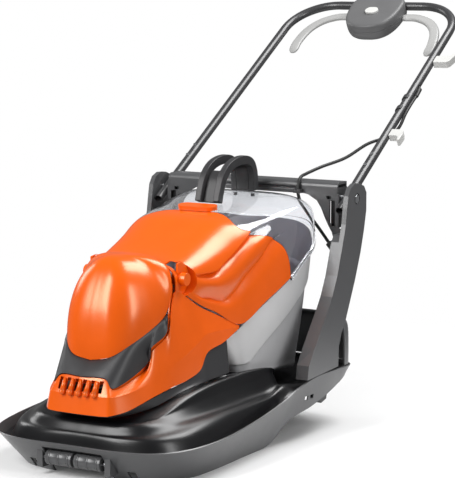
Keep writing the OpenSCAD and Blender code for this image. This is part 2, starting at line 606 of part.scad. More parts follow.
module micro_switch() color(black) on_handle() translate([-14, top_s - 76, -21.8]) cube([28, 36, 9.8]);
module bail_lever() color(pale) on_handle() {
    path = [[66, bail_s, bail_n], [100, bail_s - 2, bail_n], [134, bail_s - 18, bail_n - 2],
        [157, bail_s - 48, bail_n - 5], [167, bail_s - 90, bail_n - 9], [166, bail_s - 128, bail_n - 14]];
    both() sweep(path_of(path, 18), [for (q = ring_of(1, 12)) [q[0] * 11, q[1] * 4.5]], [0, 0, 1]);
    translate([0, bail_s, bail_n]) rotate([0, 90, 0]) difference() {
        cylinder(r = 6.5, h = 136, center = true);
        cylinder(r = 2.5 + run, h = 120, center = true);
    }
}
module bail_pin() color(steel) on_handle() translate([0, bail_s, bail_n]) rotate([0, 90, 0])
    cylinder(r = 2.5, h = 118, center = true);
module mains_inlet() color(rubber) on_handle() translate([0, top_s + 24.6, -4]) rotate([-90, 0, 0]) {
    cylinder(r = 8, h = 10);
    cylinder(r = 5.5, h = 22);
}

function at_handle(x, s, n) = [x, pivot_y + s * cos(handle_angle) - n * sin(handle_angle),
    pivot_z + s * sin(handle_angle) + n * cos(handle_angle)];
lead_r = lead_d / 2;
beside = tube_d / 2 + lead_r + 0.5;
lead_end = [tube_x(222) - 9, 222, -beside - 0.6];
// Out of the tube, through a moulded sleeve, down its outer side and under it.
module lead_upper() color(rubber) on_handle() {
    sweep(path_of([for (q = [[0, 16, 0], [0.5, 7, 0], [3.8, -2, 0], [9.6, -10, 0], [14.2, -20, 0],
            [15, -32, 0], [beside + 0.4, -52, 0], [beside, -76, 0], [beside, -104, -1],
            [beside - 2, -132, -9], [5, -152, -beside - 1]])
            let (s = entry_s + q[1]) [tube_x(s) + q[0], s, q[2]]], 30),
        ring_of(lead_r, 8), [0.2, 0, 1]);
    translate([tube_x(entry_s - 18) + 14.8, entry_s - 18, 0]) rotate([90, 0, lean])
        cylinder(r1 = 5.2, r2 = 4, h = 24);
}
module lead_span() color(rubber) placed()
    sweep(path_of([at_handle(lead_end[0] - 0.6, lead_end[1] - 0.6, lead_end[2]), [174, 494, 545],
        [146, 450, 519], [118, 400, 504], [108.5, 362, 495.5], [107.5, 345, 492.6], [108.5, 332.5, 491.5],
        [109.8, 318.5, 487.7], [111, 308.2, 477.5], [111.6, 304.8, 466]], 30),
        ring_of(lead_r, 8), [1, -0.4, 0]);
module lead_lower() color(rubber) placed()
    sweep(path_of([[111.8, 304.7, 465], [112.8, 305, 455], [118, 306.6, 440], [135, 307.6, 417],
        [160, 306.6, 389], [182, 304, 364]], 16),
        ring_of(lead_r, 8), [0, 1, 0]);
module lead_clips() color(dark) on_handle() for (s = [340, 300])
    translate([tube_x(s), s, 0]) rotate([0, 0, lean]) translate([0, -6, 0]) rotate([-90, 0, 0]) difference() {
        cylinder(r = tube_d / 2 + 2.4, h = 12);
        translate([0, 0, -1]) cylinder(r = tube_d / 2 + 0.2, h = 14);
        translate([4, -30, -1]) cube([30, 60, 14]);
    }
module beam_clip() color(dark) placed() {
    for (x = [104, 117.4]) translate([x, 300, 459]) cube([2.6, 11.8, 8]);
    translate([104, 298.2, 459]) cube([16, 2.4, 8]);
}
module lead_gland() color(dark) placed() translate([183, 304, 362.8]) rotate([0, 139, 0]) difference() {
    cylinder(r = 7.4, h = 13);
    translate([0, 0, -1]) cylinder(r = lead_r + 0.3, h = 9);
}
// Hooks for winding the mains lead, seen along the handle's normal.
module hook(s, horn) color(pale) on_handle() translate([tube_x(s) + tube_d / 2 + 0.3, s, -8])
    linear_extrude(16) polygon(horn);
module hook_upper() hook(470, [[0, 0], [30, 0], [36, 5], [47, 40], [41, 43], [31, 26], [24, 24], [0, 24]]);
module hook_lower() hook(204, [[0, 0], [16, 0], [22, -4], [25, -16], [30, -14], [31, 6], [27, 18], [22, 22],
    [0, 22]]);
module cover_screws() color(steel) on_spin(152.6) for (a = [0 : 60 : 300])
    rotate(a) translate([90, 0, 0]) cylinder(d = 9, h = 4);

deck_skirt();
hood_shell();
motor_base();
bonnet();
nose_trim();
nose_dome();
arm_left();
arm_right();
crossbeam();
rear_wall();
rear_feet();
roller_axle();
roller_left();
roller_right();
motor_plate();
motor_can();
motor_cap();
motor_windings();
brush_gear();
motor_bearings();
rotor_shaft();
fan();
blade_spacers();
blade();
blade_bolt();
hinge_pins();
grass_tub();
tub_arms();
duct_cover();
lid_ears();
clear_lid();
lid_cap();
carry_handle();
handle_screws();
pivot_bolts();
tube_left();
tube_right();
top_bow();
tube_plugs();
tube_screws();
switch_lower();
switch_upper();
lock_button();
button_spring();
bail_lever();
bail_pin();
micro_switch();
mains_inlet();
lead_upper();
lead_span();
lead_lower();
lead_clips();
beam_clip();
lead_gland();
hook_upper();
hook_lower();
cover_screws();
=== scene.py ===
import json
import math

import bmesh
import bpy
import numpy as np
from mathutils import Matrix, Vector


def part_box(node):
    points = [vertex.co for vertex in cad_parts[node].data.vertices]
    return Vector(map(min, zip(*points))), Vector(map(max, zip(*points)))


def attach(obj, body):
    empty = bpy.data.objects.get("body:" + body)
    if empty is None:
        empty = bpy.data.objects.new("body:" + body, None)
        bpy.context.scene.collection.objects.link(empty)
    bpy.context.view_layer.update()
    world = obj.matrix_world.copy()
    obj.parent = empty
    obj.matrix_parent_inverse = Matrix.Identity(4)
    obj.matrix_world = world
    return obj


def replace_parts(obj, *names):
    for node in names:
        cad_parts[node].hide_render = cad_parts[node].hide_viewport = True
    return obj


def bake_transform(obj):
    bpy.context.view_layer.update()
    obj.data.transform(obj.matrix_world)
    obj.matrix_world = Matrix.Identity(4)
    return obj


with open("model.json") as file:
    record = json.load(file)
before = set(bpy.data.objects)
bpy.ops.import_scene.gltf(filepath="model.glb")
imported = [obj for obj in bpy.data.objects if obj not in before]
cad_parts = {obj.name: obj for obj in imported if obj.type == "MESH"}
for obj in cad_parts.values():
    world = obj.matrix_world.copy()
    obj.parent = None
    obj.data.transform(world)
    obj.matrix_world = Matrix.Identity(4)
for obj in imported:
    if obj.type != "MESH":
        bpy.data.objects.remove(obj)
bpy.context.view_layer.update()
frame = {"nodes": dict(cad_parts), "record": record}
nodes = frame["nodes"]
scene = bpy.context.scene
scene.view_settings.view_transform = "Standard"

# Outlines are in millimetres about the machine's own middle, nose at -Y, and moved onto the frame.
mm = 0.001
spinY = -125.0
up = np.array([0, 0, 1.0])
plateLow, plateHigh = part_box("motor_plate")
frameShift = np.array([(plateLow.x + plateHigh.x) / 2, (plateLow.y + plateHigh.y) / 2 - spinY * mm, 0.0])


def onFrame(points):
    return np.asarray(points, float) * mm + frameShift


# Smooth lines through a few points
def follow(positions, values, at):
    positions, values = np.asarray(positions, float), np.asarray(values, float)
    flatValues = values.ndim == 1
    if flatValues:
        values = values[:, None]
    at = np.clip(np.atleast_1d(np.asarray(at, float)), positions[0], positions[-1])
    last = len(positions) - 1
    i = np.clip(np.searchsorted(positions, at, side="right") - 1, 0, last - 1)
    before, after = np.maximum(np.arange(last + 1) - 1, 0), np.minimum(np.arange(last + 1) + 1, last)
    slope = (values[after] - values[before]) / (positions[after] - positions[before])[:, None]
    h = (positions[i + 1] - positions[i])[:, None]
    s = (at - positions[i])[:, None] / h
    out = ((2 * s**3 - 3 * s**2 + 1) * values[i] + (s**3 - 2 * s**2 + s) * h * slope[i]
           + (3 * s**2 - 2 * s**3) * values[i + 1] + (s**3 - s**2) * h * slope[i + 1])
    return out[:, 0] if flatValues else out


def tableAt(table, at):
    table = np.asarray(table, float)
    return follow(table[:, 0], table[:, 1], at)


def along(points, n):
    return follow(np.arange(len(points)), points, np.linspace(0, 1, n + 1) * (len(points) - 1))


def flipX(points):
    return np.asarray(points, float) * [-1, 1, 1]


def wholeLine(half, n):
    line = along(half, n)
    return np.concatenate([line, flipX(line[1:-1])[::-1]])


def bandLine(half, n):
    line = along(half, n)
    return np.concatenate([flipX(line[1:])[::-1], line])


def unit(v):
    v = np.asarray(v, float)
    return v / np.linalg.norm(v, axis=-1, keepdims=True)


def level(v):
    return np.asarray(v, float) * [1, 1, 0]


def towards(line, y):
    # level directions from a line to a place on the middle plane
    return unit(level(np.array([0, y, 0]) - line))


def mix(a, b, s):
    return a + (b - a) * s


def bow(c, power):
    return np.sign(c) * np.abs(c) ** (2 / power)


def bowRing(half, power, n):
    a = np.linspace(0, 2 * math.pi, n, endpoint=False)
    return np.stack([half[0] * bow(np.cos(a), power), half[1] * bow(np.sin(a), power)], 1)


def ring(r, n):
    return bowRing((r, r), 2, n)


def refine(grid, parts):
    # more points down each column, on a smooth line through the ones given
    count = (grid.shape[1] - 1) * parts
    return np.stack([along(column, count) for column in grid])


# Meshes from grids, sections and boxes
smoothAngle = math.radians(40)
mergeGap = 1e-6


def addObject(name, data):
    obj = bpy.data.objects.new(name, data)
    scene.collection.objects.link(obj)
    return obj


def smoothShade(obj):
    mesh = obj.data
    mesh.polygons.foreach_set("use_smooth", [True] * len(mesh.polygons))
    mesh.set_sharp_from_angle(angle=smoothAngle)
    return obj


def meshObject(name, points, faces):
    mesh = bpy.data.meshes.new(name)
    mesh.from_pydata([tuple(p) for p in points], [], faces)
    bm = bmesh.new()
    bm.from_mesh(mesh)
    bmesh.ops.remove_doubles(bm, verts=bm.verts, dist=mergeGap)
    if bm.calc_volume(signed=True) < 0:
        bmesh.ops.reverse_faces(bm, faces=bm.faces)
    bm.to_mesh(mesh)
    bm.free()
    return smoothShade(addObject(name, mesh))


def gridNormals(grid, closed):
    if closed:
        across = np.roll(grid, -1, 0) - np.roll(grid, 1, 0)
    else:
        across = np.gradient(grid, axis=0)
    return unit(np.cross(across, np.gradient(grid, axis=1)))


def shellMesh(name, grid, wall, closed=False, capped=False):
    # grid of outer points, the wall behind it, rims closed
    n, m, _ = grid.shape
    inner = grid - wall * gridNormals(grid, closed)
    points = np.concatenate([grid.reshape(-1, 3), inner.reshape(-1, 3)])
    k, faces = n * m, []
    for i in range(n if closed else n - 1):
        a, b = i * m, (i + 1) % n * m
        for j in range(m - 1):
            faces.append((a + j, b + j, b + j + 1, a + j + 1))
            faces.append((k + a + j, k + a + j + 1, k + b + j + 1, k + b + j))
        faces.append((a, k + a, k + b, b))
        if not capped:
            faces.append((a + m - 1, b + m - 1, k + b + m - 1, k + a + m - 1))
    if not closed:
        e = (n - 1) * m
        for j in range(m - 1):
            faces.append((j, j + 1, k + j + 1, k + j))
            faces.append((e + j, k + e + j, k + e + j + 1, e + j + 1))
    if capped:
        poles = [grid[:, -1].mean(0), inner[:, -1].mean(0)]
        points = np.concatenate([points, poles])
        for i in range(n):
            a, b = i * m + m - 1, (i + 1) % n * m + m - 1
            faces.append((a, b, 2 * k))
            faces.append((k + b, k + a, 2 * k + 1))
    return meshObject(name, onFrame(points), faces)


def twinShells(name, half, wall):
    # the same shell on both sides of the machine
    return [shellMesh(name, rows, wall) for rows in (half, flipX(half)[::-1])]


def loftMesh(name, rows, loop=False):
    n, m, _ = rows.shape
    faces = []
    for i in range(n if loop else n - 1):
        a, b = i * m, (i + 1) % n * m
        for j in range(m):
            l = (j + 1) % m
            faces.append((a + j, a + l, b + l, b + j))
    if not loop:
        faces.append(tuple(range(m))[::-1])
        faces.append(tuple((n - 1) * m + j for j in range(m)))
    return meshObject(name, onFrame(rows.reshape(-1, 3)), faces)


def sweepRows(path, section, ref):
    # a section carried along a path; ref is a direction the path never takes
    path, section = np.asarray(path, float), np.asarray(section, float)
    tangent = unit(np.gradient(path, axis=0))
    e = unit(np.cross(np.asarray(ref, float), tangent))
    f = np.cross(tangent, e)
    if section.ndim == 2:
        section = np.repeat(section[None], len(path), 0)
    return path[:, None] + section[..., :1] * e[:, None] + section[..., 1:] * f[:, None]


def sweepMesh(name, path, section, ref):
    return loftMesh(name, sweepRows(path, section, ref))


def boxObject(name, corner, size):
    low = onFrame(corner)
    high = onFrame(np.asarray(corner, float) + size)
    points = [(x, y, z) for x in (low[0], high[0]) for y in (low[1], high[1]) for z in (low[2], high[2])]
    faces = [(0, 1, 3, 2), (4, 6, 7, 5), (0, 4, 5, 1), (2, 3, 7, 6), (0, 2, 6, 4), (1, 5, 7, 3)]
    return meshObject(name, points, faces)


def mirrored(corner, size):
    return [(corner, size), ((-corner[0] - size[0], corner[1], corner[2]), size)]


def roundCutter(name, x, y, z, r, length, sides=64):
    bm = bmesh.new()
    bmesh.ops.create_cone(bm, cap_ends=True, segments=sides, radius1=r * mm, radius2=r * mm,
                          depth=length * mm)
    mesh = bpy.data.meshes.new(name)
    bm.to_mesh(mesh)
    bm.free()
    mesh.transform(Matrix.Translation(onFrame((x, y, z))) @ Matrix.Rotation(math.pi / 2, 4, "Y"))
    return addObject(name, mesh)


def settle(obj):
    # the evaluated mesh becomes the object's own
    graph = bpy.context.evaluated_depsgraph_get()
    mesh = bpy.data.meshes.new_from_object(obj.evaluated_get(graph))
    obj.modifiers.clear()
    obj.data = mesh
    mesh.name = obj.name
    return obj


def carve(obj, cutters, folded=False):
    for cutter in cutters:
        cut = obj.modifiers.new("cut", "BOOLEAN")
        cut.operation, cut.object, cut.solver = "DIFFERENCE", cutter, "EXACT"
        cut.use_self = folded
    settle(obj)
    for cutter in cutters:
        bpy.data.objects.remove(cutter)
    return smoothShade(obj)


def joinMeshes(name, parts):
    bm = bmesh.new()
    for p in parts:
        bm.from_mesh(p.data)
        bpy.data.objects.remove(p)
    mesh = bpy.data.meshes.new(name)
    bm.to_mesh(mesh)
    bm.free()
    return smoothShade(addObject(name, mesh))


def bevelEdges(obj, width, segments=2, angle=45):
    bevel = obj.modifiers.new("edgeRound", "BEVEL")
    bevel.width, bevel.segments = width * mm, segments
    bevel.limit_method, bevel.angle_limit = "ANGLE", math.radians(angle)
    bevel.harden_normals = False
    return obj


def place(obj, body, slotName, finish, *stoodFor):
    obj.data.materials.clear()
    obj.data.materials.append(paint[finish])
    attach(obj, body)
    if stoodFor:
        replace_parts(obj, *stoodFor)
    return obj


# Shader and geometry nodes
def newGroup(name, kind, inputs, outputs, outType="NodeSocketFloat"):
    tree = bpy.data.node_groups.new(name, kind)
    for label, value in inputs.items():
        tree.interface.new_socket(label, in_out="INPUT", socket_type="NodeSocketFloat").default_value = value
    for label in outputs:
        tree.interface.new_socket(label, in_out="OUTPUT", socket_type=outType)
    return tree, tree.nodes.new("NodeGroupInput"), tree.nodes.new("NodeGroupOutput")


def feed(tree, node, inputs):
    # an input that is given a socket is linked to it, any other is set
    for label, value in inputs.items():
        if isinstance(value, bpy.types.NodeSocket):
            tree.links.new(value, node.inputs[label])
        else:
            node.inputs[label].default_value = value
    return node


def addNode(tree, kind, inputs):
    return feed(tree, tree.nodes.new(kind), inputs)


def mathNode(tree, operation, first, second, clamp=False):
    n = addNode(tree, "ShaderNodeMath", {0: first, 1: second})
    n.operation, n.use_clamp = operation, clamp
    return n.outputs[0]


def noiseNode(tree, coords, scale, detail):
    n = addNode(tree, "ShaderNodeTexNoise", {"Vector": coords, "Scale": scale, "Detail": detail})
    return n.outputs["Fac"]


def mixShaders(tree, share, first, second, output):
    blend = addNode(tree, "ShaderNodeMixShader", {0: share, 1: first, 2: second})
    feed(tree, output, {"Surface": blend.outputs[0]})


# Camera, floor and light
photoFrame = {"width": 455, "height": 478, "focalPixels": 2000.0, "azimuth": 29.8, "pitch": 7.9,
              "place": (1976.4, -3235.7, 920.0), "sensor": 36.0, "clip": (0.05, 60.0)}
studio = {"worldStrength": 0.17, "floorColour": (0.9, 0.9, 0.9), "floorRough": 0.9, "floorSize": 6.0,
          "floorFade": (0.5, 1.15), "aim": (0, -0.1, 0.35),
          # name, place, width, height, power
          "lamps": [("keyPanel", (-1.1, -2.8, 2.1), 1.3, 2.4, 104.0),
                    ("topPanel", (0.8, 0.9, 2.7), 1.5, 1.5, 74.0),
                    ("sideStrip", (3.0, -0.9, 1.7), 0.8, 2.0, 40.0),
                    ("fillPanel", (-3.0, 0.2, 1.6), 1.2, 1.4, 24.0)]}


def makeCamera(s):
    data = bpy.data.cameras.new("photoCamera")
    data.sensor_fit, data.sensor_width = "AUTO", s["sensor"]
    data.lens = s["focalPixels"] / max(s["width"], s["height"]) * data.sensor_width
    data.clip_start, data.clip_end = s["clip"]
    camera = addObject("photoCamera", data)
    a, p = math.radians(s["azimuth"]), math.radians(s["pitch"])
    ahead = Vector((-math.sin(a) * math.cos(p), math.cos(a) * math.cos(p), -math.sin(p)))
    camera.location = onFrame(s["place"])
    camera.rotation_euler = ahead.to_track_quat("-Z", "Y").to_euler()
    scene.camera = camera


def makeWorld(s):
    # white where it is seen, straight or through clear plastic, and dim as a light
    world = bpy.data.worlds.new("studioWorld")
    scene.world = world
    world.use_nodes = True
    tree = world.node_tree
    tree.nodes.clear()
    out = tree.nodes.new("ShaderNodeOutputWorld")
    dim, white = (addNode(tree, "ShaderNodeBackground", {"Color": (1, 1, 1, 1), "Strength": strength})
                  for strength in (s["worldStrength"], 1.0))
    rays = tree.nodes.new("ShaderNodeLightPath").outputs
    seen = mathNode(tree, "MAXIMUM", rays["Is Camera Ray"], rays["Is Transmission Ray"])
    mixShaders(tree, seen, dim.outputs[0], white.outputs[0], out)


def makeFloor(s):
    # pale paper that fades out away from the machine
    mesh = bpy.data.meshes.new("studioFloor")
    r = s["floorSize"] / 2
    mesh.from_pydata([(-r, -r, 0), (r, -r, 0), (r, r, 0), (-r, r, 0)], [], [(0, 1, 2, 3)])
    paper = bpy.data.materials.new("floorPaper")
    paper.use_nodes = True
    tree = paper.node_tree
    shader = tree.nodes["Principled BSDF"]
    feed(tree, shader, {"Base Color": (*s["floorColour"], 1), "Roughness": s["floorRough"]})
    coords = tree.nodes.new("ShaderNodeTexCoord").outputs["Object"]
    reach = addNode(tree, "ShaderNodeVectorMath", {0: coords})
    reach.operation = "LENGTH"
    near, far = s["floorFade"]
    fade = addNode(tree, "ShaderNodeMapRange", {"Value": reach.outputs["Value"], "From Min": near,
                                                "From Max": far})
    fade.interpolation_type = "SMOOTHSTEP"
    gone = tree.nodes.new("ShaderNodeBsdfTransparent")
    mixShaders(tree, fade.outputs[0], shader.outputs[0], gone.outputs[0], tree.nodes["Material Output"])
    mesh.materials.append(paper)
    addObject("studioFloor", mesh)


def makeLamps(s):
    for name, spot, wide, tall, power in s["lamps"]:
        data = bpy.data.lights.new(name, "AREA")
        data.shape, data.size, data.size_y, data.energy = "RECTANGLE", wide, tall, power
        lamp = addObject(name, data)
        lamp.location = spot
        lamp.rotation_euler = (Vector(s["aim"]) - lamp.location).to_track_quat("-Z", "Y").to_euler()


makeCamera(photoFrame)
makeWorld(studio)
makeFloor(studio)
makeLamps(studio)
print("camera and studio ready")

# Materials; a noise pattern is its scale and its detail
mould = {"grainDetail": 2.0, "wave": (9.0, 1.0), "smear": (26.0, 5.0), "noiseMiddle": 0.5, "smearTint": 0.12,
         "grainTint": 0.04, "value": 0.98, "bumpDepth": 0.0004}


def makeMouldGroup(s):
    # moulded skin: fine spark grain, slow waviness of the wall, and handling smears that change the gloss
    inputs = {"Grain Scale": 900.0, "Grain": 0.5, "Wave": 0.3, "Gloss": 0.3, "Smear": 0.1}
    tree, gin, gout = newGroup("mouldedSkin", "ShaderNodeTree", inputs, ("Height", "Roughness", "Tint"))
    coords = tree.nodes.new("ShaderNodeTexCoord").outputs["Object"]
    grain = noiseNode(tree, coords, gin.outputs["Grain Scale"], s["grainDetail"])
    wave = noiseNode(tree, coords, *s["wave"])
    smear = mathNode(tree, "SUBTRACT", noiseNode(tree, coords, *s["smear"]), s["noiseMiddle"])
    high = mathNode(tree, "ADD", mathNode(tree, "MULTIPLY", grain, gin.outputs["Grain"]),
                    mathNode(tree, "MULTIPLY", wave, gin.outputs["Wave"]))
    swing = mathNode(tree, "MULTIPLY", smear, gin.outputs["Smear"])
    rough = mathNode(tree, "ADD", gin.outputs["Gloss"], swing, True)
    tint = mathNode(tree, "ADD", mathNode(tree, "MULTIPLY", smear, s["smearTint"]),
                    mathNode(tree, "MULTIPLY", grain, s["grainTint"]))
    feed(tree, gout, {"Height": high, "Roughness": rough, "Tint": tint})
    return tree


mouldGroup = makeMouldGroup(mould)
skinSockets = {"Grain Scale": "grainScale", "Grain": "grain", "Wave": "wave", "Gloss": "rough",
               "Smear": "smear"}
plainSockets = {"Coat Weight": "coat", "Coat Roughness": "coatRough", "Specular IOR Level": "specular",
                "Metallic": "metal", "Transmission Weight": "clear", "IOR": "ior"}


def tintedColour(tree, colour, tint):
    # the same colour a little lighter or darker from place to place
    value = mathNode(tree, "ADD", tint, mould["value"])
    return addNode(tree, "ShaderNodeHueSaturation", {"Color": (*colour, 1), "Value": value}).outputs["Color"]


def mouldedPlastic(name, s):
    material = bpy.data.materials.new(name)
    material.use_nodes = True
    tree = material.node_tree
    shader = tree.nodes["Principled BSDF"]
    skin = tree.nodes.new("ShaderNodeGroup")
    skin.node_tree = mouldGroup
    feed(tree, skin, {label: s[key] for label, key in skinSockets.items()})
    bump = addNode(tree, "ShaderNodeBump", {"Strength": s["bump"], "Distance": mould["bumpDepth"],
                                            "Height": skin.outputs["Height"]})
    feed(tree, shader, {"Normal": bump.outputs["Normal"], "Roughness": skin.outputs["Roughness"],
                        "Base Color": tintedColour(tree, s["colour"], skin.outputs["Tint"]),
                        "Specular Tint": (*s["glint"], 1)})
    feed(tree, shader, {label: s[key] for label, key in plainSockets.items()})
    return material


# what a finish has unless its own line says otherwise
plainFinish = {"grain": 0.5, "wave": 0.3, "smear": 0.1, "bump": 0.25, "coat": 0.0, "coatRough": 0.05,
               "specular": 0.5, "glint": (1, 1, 1), "metal": 0.0, "clear": 0.0, "ior": 1.49}
finishes = {
    "orangeShell": {"colour": (0.86, 0.112, 0.001), "rough": 0.25, "grainScale": 700, "grain": 0.12,
                    "wave": 0.5, "smear": 0.08, "specular": 0.9, "glint": (1.0, 0.86, 0.62), "bump": 0.12},
    "greyTrim": {"colour": (0.03, 0.03, 0.032), "rough": 0.42, "grainScale": 1400, "smear": 0.12},
    "deckGrey": {"colour": (0.075, 0.076, 0.079), "rough": 0.34, "grainScale": 1300, "grain": 0.35,
                 "wave": 0.4, "coat": 0.25, "coatRough": 0.2},
    "hoodBlack": {"colour": (0.006, 0.006, 0.007), "rough": 0.3, "grainScale": 600, "grain": 0.08,
                  "wave": 0.5, "bump": 0.1},
    "switchGrey": {"colour": (0.11, 0.11, 0.112), "rough": 0.45, "grainScale": 1500, "grain": 0.6,
                   "wave": 0.2},
    "darkPlastic": {"colour": (0.034, 0.034, 0.036), "rough": 0.42, "grainScale": 1300, "wave": 0.2,
                    "smear": 0.12},
    "paleLever": {"colour": (0.56, 0.56, 0.545), "rough": 0.36, "grainScale": 1200, "grain": 0.3},
    "bailGrey": {"colour": (0.36, 0.36, 0.355), "rough": 0.34, "grainScale": 1200, "grain": 0.3},
    "tubePaint": {"colour": (0.04, 0.04, 0.042), "rough": 0.32, "grainScale": 500, "grain": 0.12, "wave": 0.1,
                  "smear": 0.12, "coat": 0.2, "coatRough": 0.15, "bump": 0.1},
    "leadRubber": {"colour": (0.012, 0.012, 0.012), "rough": 0.5, "grainScale": 900, "wave": 0.1},
    "brightSteel": {"colour": (0.62, 0.63, 0.65), "rough": 0.28, "grainScale": 400, "grain": 0.4, "wave": 0.1,
                    "smear": 0.16, "metal": 1.0},
    "windingCopper": {"colour": (0.72, 0.36, 0.16), "rough": 0.4, "grainScale": 300, "grain": 0.6,
                      "wave": 0.1, "smear": 0.16, "metal": 1.0},
    "clearLid": {"colour": (0.955, 0.965, 0.99), "rough": 0.02, "grainScale": 300, "grain": 0.03, "wave": 0.6,
                 "smear": 0.02, "clear": 1.0, "ior": 1.4, "bump": 0.05},
    "smokyTub": {"colour": (0.84, 0.84, 0.84), "rough": 0.3, "grainScale": 600, "grain": 0.15, "wave": 0.5,
                 "clear": 0.3, "ior": 1.4, "bump": 0.1},
    # painted shade: a darker copy of smokyTub for the tub below its shoulder
    "tubBodyShade": {"colour": (0.56, 0.56, 0.57), "rough": 0.3, "grainScale": 600, "grain": 0.15, "wave": 0.5,
                "smear": 0.12, "clear": 0.1, "ior": 1.4, "bump": 0.1},
    # painted shade: a dark copy of the tub's plastic for its inner faces
    "tubInsideShade": {"colour": (0.22, 0.22, 0.255), "rough": 0.4, "grainScale": 600, "grain": 0.15, "wave": 0.5,
                  "smear": 0.12, "bump": 0.1},
}
paint = {name: mouldedPlastic(name, {**plainFinish, **s}) for name, s in finishes.items()}
print("materials ready:", len(paint))

# Deck: grey skirt and black hood
footLine = [[0, -305, 0], [80, -303, 0], [140, -282, 0], [175, -235, 0], [185, -160, 0], [185, -60, 0],
            [186, 15, 0], [194, 52, 12], [210, 85, 46], [222, 160, 62], [224, 250, 82], [214, 318, 101],
            [150, 356, 108], [0, 363, 109]]
rimLine = [[0, -356.6, 66], [100, -355.6, 66], [168, -334, 66], [208, -280, 67], [225, -195, 70],
           [226, -90, 77], [226, 0, 88], [226, 50, 97], [227, 95, 109], [230, 170, 121], [231, 255, 120],
           [222, 328, 118], [155, 369, 118], [0, 376, 118]]
skirt = {"wall": 4.5, "around": 96, "bevel": (1.0, 3), "middle": 0.5, "shoulder": 0.9,
         "lip": ((5.85, -3), (3, 0), (0.6, -1.5)),   # in from the rim and up
         # boxes: corner and size
         "window": ((-64, -380, -1), (128, 80, 55)), "notch": ((99, -380, -1), (15, 100, 22)),
         "slots": [((200, y, 78), (50, 12, 8)) for y in (128, 148)], "cheek": ((67, -341, 14), (12, 26, 34))}


def buildSkirt(s):
    low, top = wholeLine(footLine, s["around"]), wholeLine(rimLine, s["around"])
    low[:, 2] = np.maximum(low[:, 2], 0)
    d = unit(level(low - top))
    wall = s["wall"] * d
    middle, shoulder = mix(low, top, s["middle"]), mix(low, top, s["shoulder"])
    lip = [top + a * d + b * up for a, b in s["lip"]]
    rows = np.stack([low, low + wall, middle + wall, shoulder + wall - up, *lip, shoulder, middle], 1)
    body = loftMesh("deckSkirt", rows, loop=True)
    cuts = [s["window"]]
    for box in (s["notch"], *s["slots"]):
        cuts += mirrored(*box)
    carve(body, [boxObject("cut", *c) for c in cuts])
    cheeks = [boxObject("axleCheek", *c) for c in mirrored(*s["cheek"])]
    return bevelEdges(joinMeshes("deckSkirt", [body, *cheeks]), *s["bevel"])


place(buildSkirt(skirt), "base", "grey_plastic", "deckGrey", "deck_skirt")

shoulderLine = [[0, -296, 98], [60, -294, 99], [96, -278, 103], [122, -240, 111], [136, -170, 132],
                [144, -90, 143], [150, -10, 146], [157, 50, 147], [164, 95, 142], [150, 118, 112],
                [130, 124, 96], [95, 128, 91], [50, 130, 90], [0, 130, 90]]
ridgeLine = [[0, -318, 84], [66, -316, 84], [118, -300, 86], [152, -256, 90], [173, -185, 95],
             [183, -95, 98], [185, -8, 99], [184, 50, 100], [179, 98, 112], [158, 126, 100], [134, 136, 93],
             [96, 141, 89], [50, 144, 88], [0, 144, 88]]
hood = {"wall": 3.0, "around": 120, "parts": 6, "bevel": 0.6, "mouth": 98.0, "mouthFront": 142.0,
        "mouthRear": 146.0, "edgeAt": 0.8, "step": (9, -2), "bulgeAt": 0.45, "roofAt": 0.5,
        "scoopAt": ((0.4, 1), (0.8, 0.7)),   # from ridge to shoulder, and the share of the depth there
        # against the number of the point on the lines above
        "scoop": [[0, 8], [2, 7], [3, 1], [4, -9], [5, -13], [6, -14], [7, -12], [8, -2], [9, 3], [10, 0],
                  [13, 0]],
        "bulge": [[0, 11], [4, 10], [8, 9], [9, 4], [10, 0], [13, 0]],
        "inset": [[0, 5], [8, 5], [11, 12], [13, 14]]}


def buildHood(s):
    n = s["around"]
    low, top, crest, ridge = (wholeLine(line, n) for line in (footLine, rimLine, shoulderLine, ridgeLine))
    d = unit(level(low - top))
    i = np.arange(2 * n)
    station = (len(rimLine) - 1) * np.where(i > n, 2 * n - i, i) / n
    inset, bulge, scoop = (tableAt(s[key], station)[:, None] for key in ("inset", "bulge", "scoop"))
    edge = mix(low, top, s["edgeAt"]) + (skirt["wall"] + inset) * d
    step = edge + s["step"][0] * d + s["step"][1] * up
    angle = np.radians(-90 + 180 * i / n)
    height = np.where((i < n / 2) | (i > 3 * n / 2), s["mouthFront"], s["mouthRear"])
    mouth = np.stack([s["mouth"] * np.cos(angle), spinY + s["mouth"] * np.sin(angle), height], 1)
    inScoop = [mix(ridge, crest, t) + depth * scoop * up for t, depth in s["scoopAt"]]
    grid = np.stack([edge, step, mix(step, ridge, s["bulgeAt"]) + bulge * up, ridge, *inScoop, crest,
                     mix(crest, mouth, s["roofAt"]), mouth], 1)
    return bevelEdges(shellMesh("hoodShell", refine(grid, s["parts"]), s["wall"], closed=True), s["bevel"])


place(buildHood(hood), "base", "black_gloss", "hoodBlack", "hood_shell")
print("deck built")

# Motor covers
bonnetLow = [[0, -327, 117], [52, -327, 118], [70, -320, 120], [88, -290, 126], [106, -240, 142],
             [113, -208, 149], [118, -180, 154], [124, -150, 159], [130, -112, 172], [133, -90, 202],
             [137, -36, 213], [140.5, 14, 231]]
bonnetBand = [[0, -321, 152], [54, -321, 152], [68, -313, 152], [84, -284, 156], [101, -236, 168],
              [109, -205, 180], [115, -178, 192], [121, -148, 206], [127, -110, 225], [131, -86, 236],
              [136, -34, 236], [140.3, 15, 234]]
bonnetTop = [[0, -312, 181], [46, -307, 181], [66, -301, 163], [86, -225, 191], [93, -221, 221],
             [103, -186, 244], [105, -176, 272], [101, -160, 310], [98, -138, 320.5], [116, -93, 287.5],
             [126, -52, 268], [140, 16, 236]]
covers = {"wall": 2.6, "seam": 0.8, "around": 90, "parts": 5, "bevel": 0.7,
          "below": (0.5, 0.9), "above": (0.1, 0.36, 0.68)}   # bonnet rows under and over its band
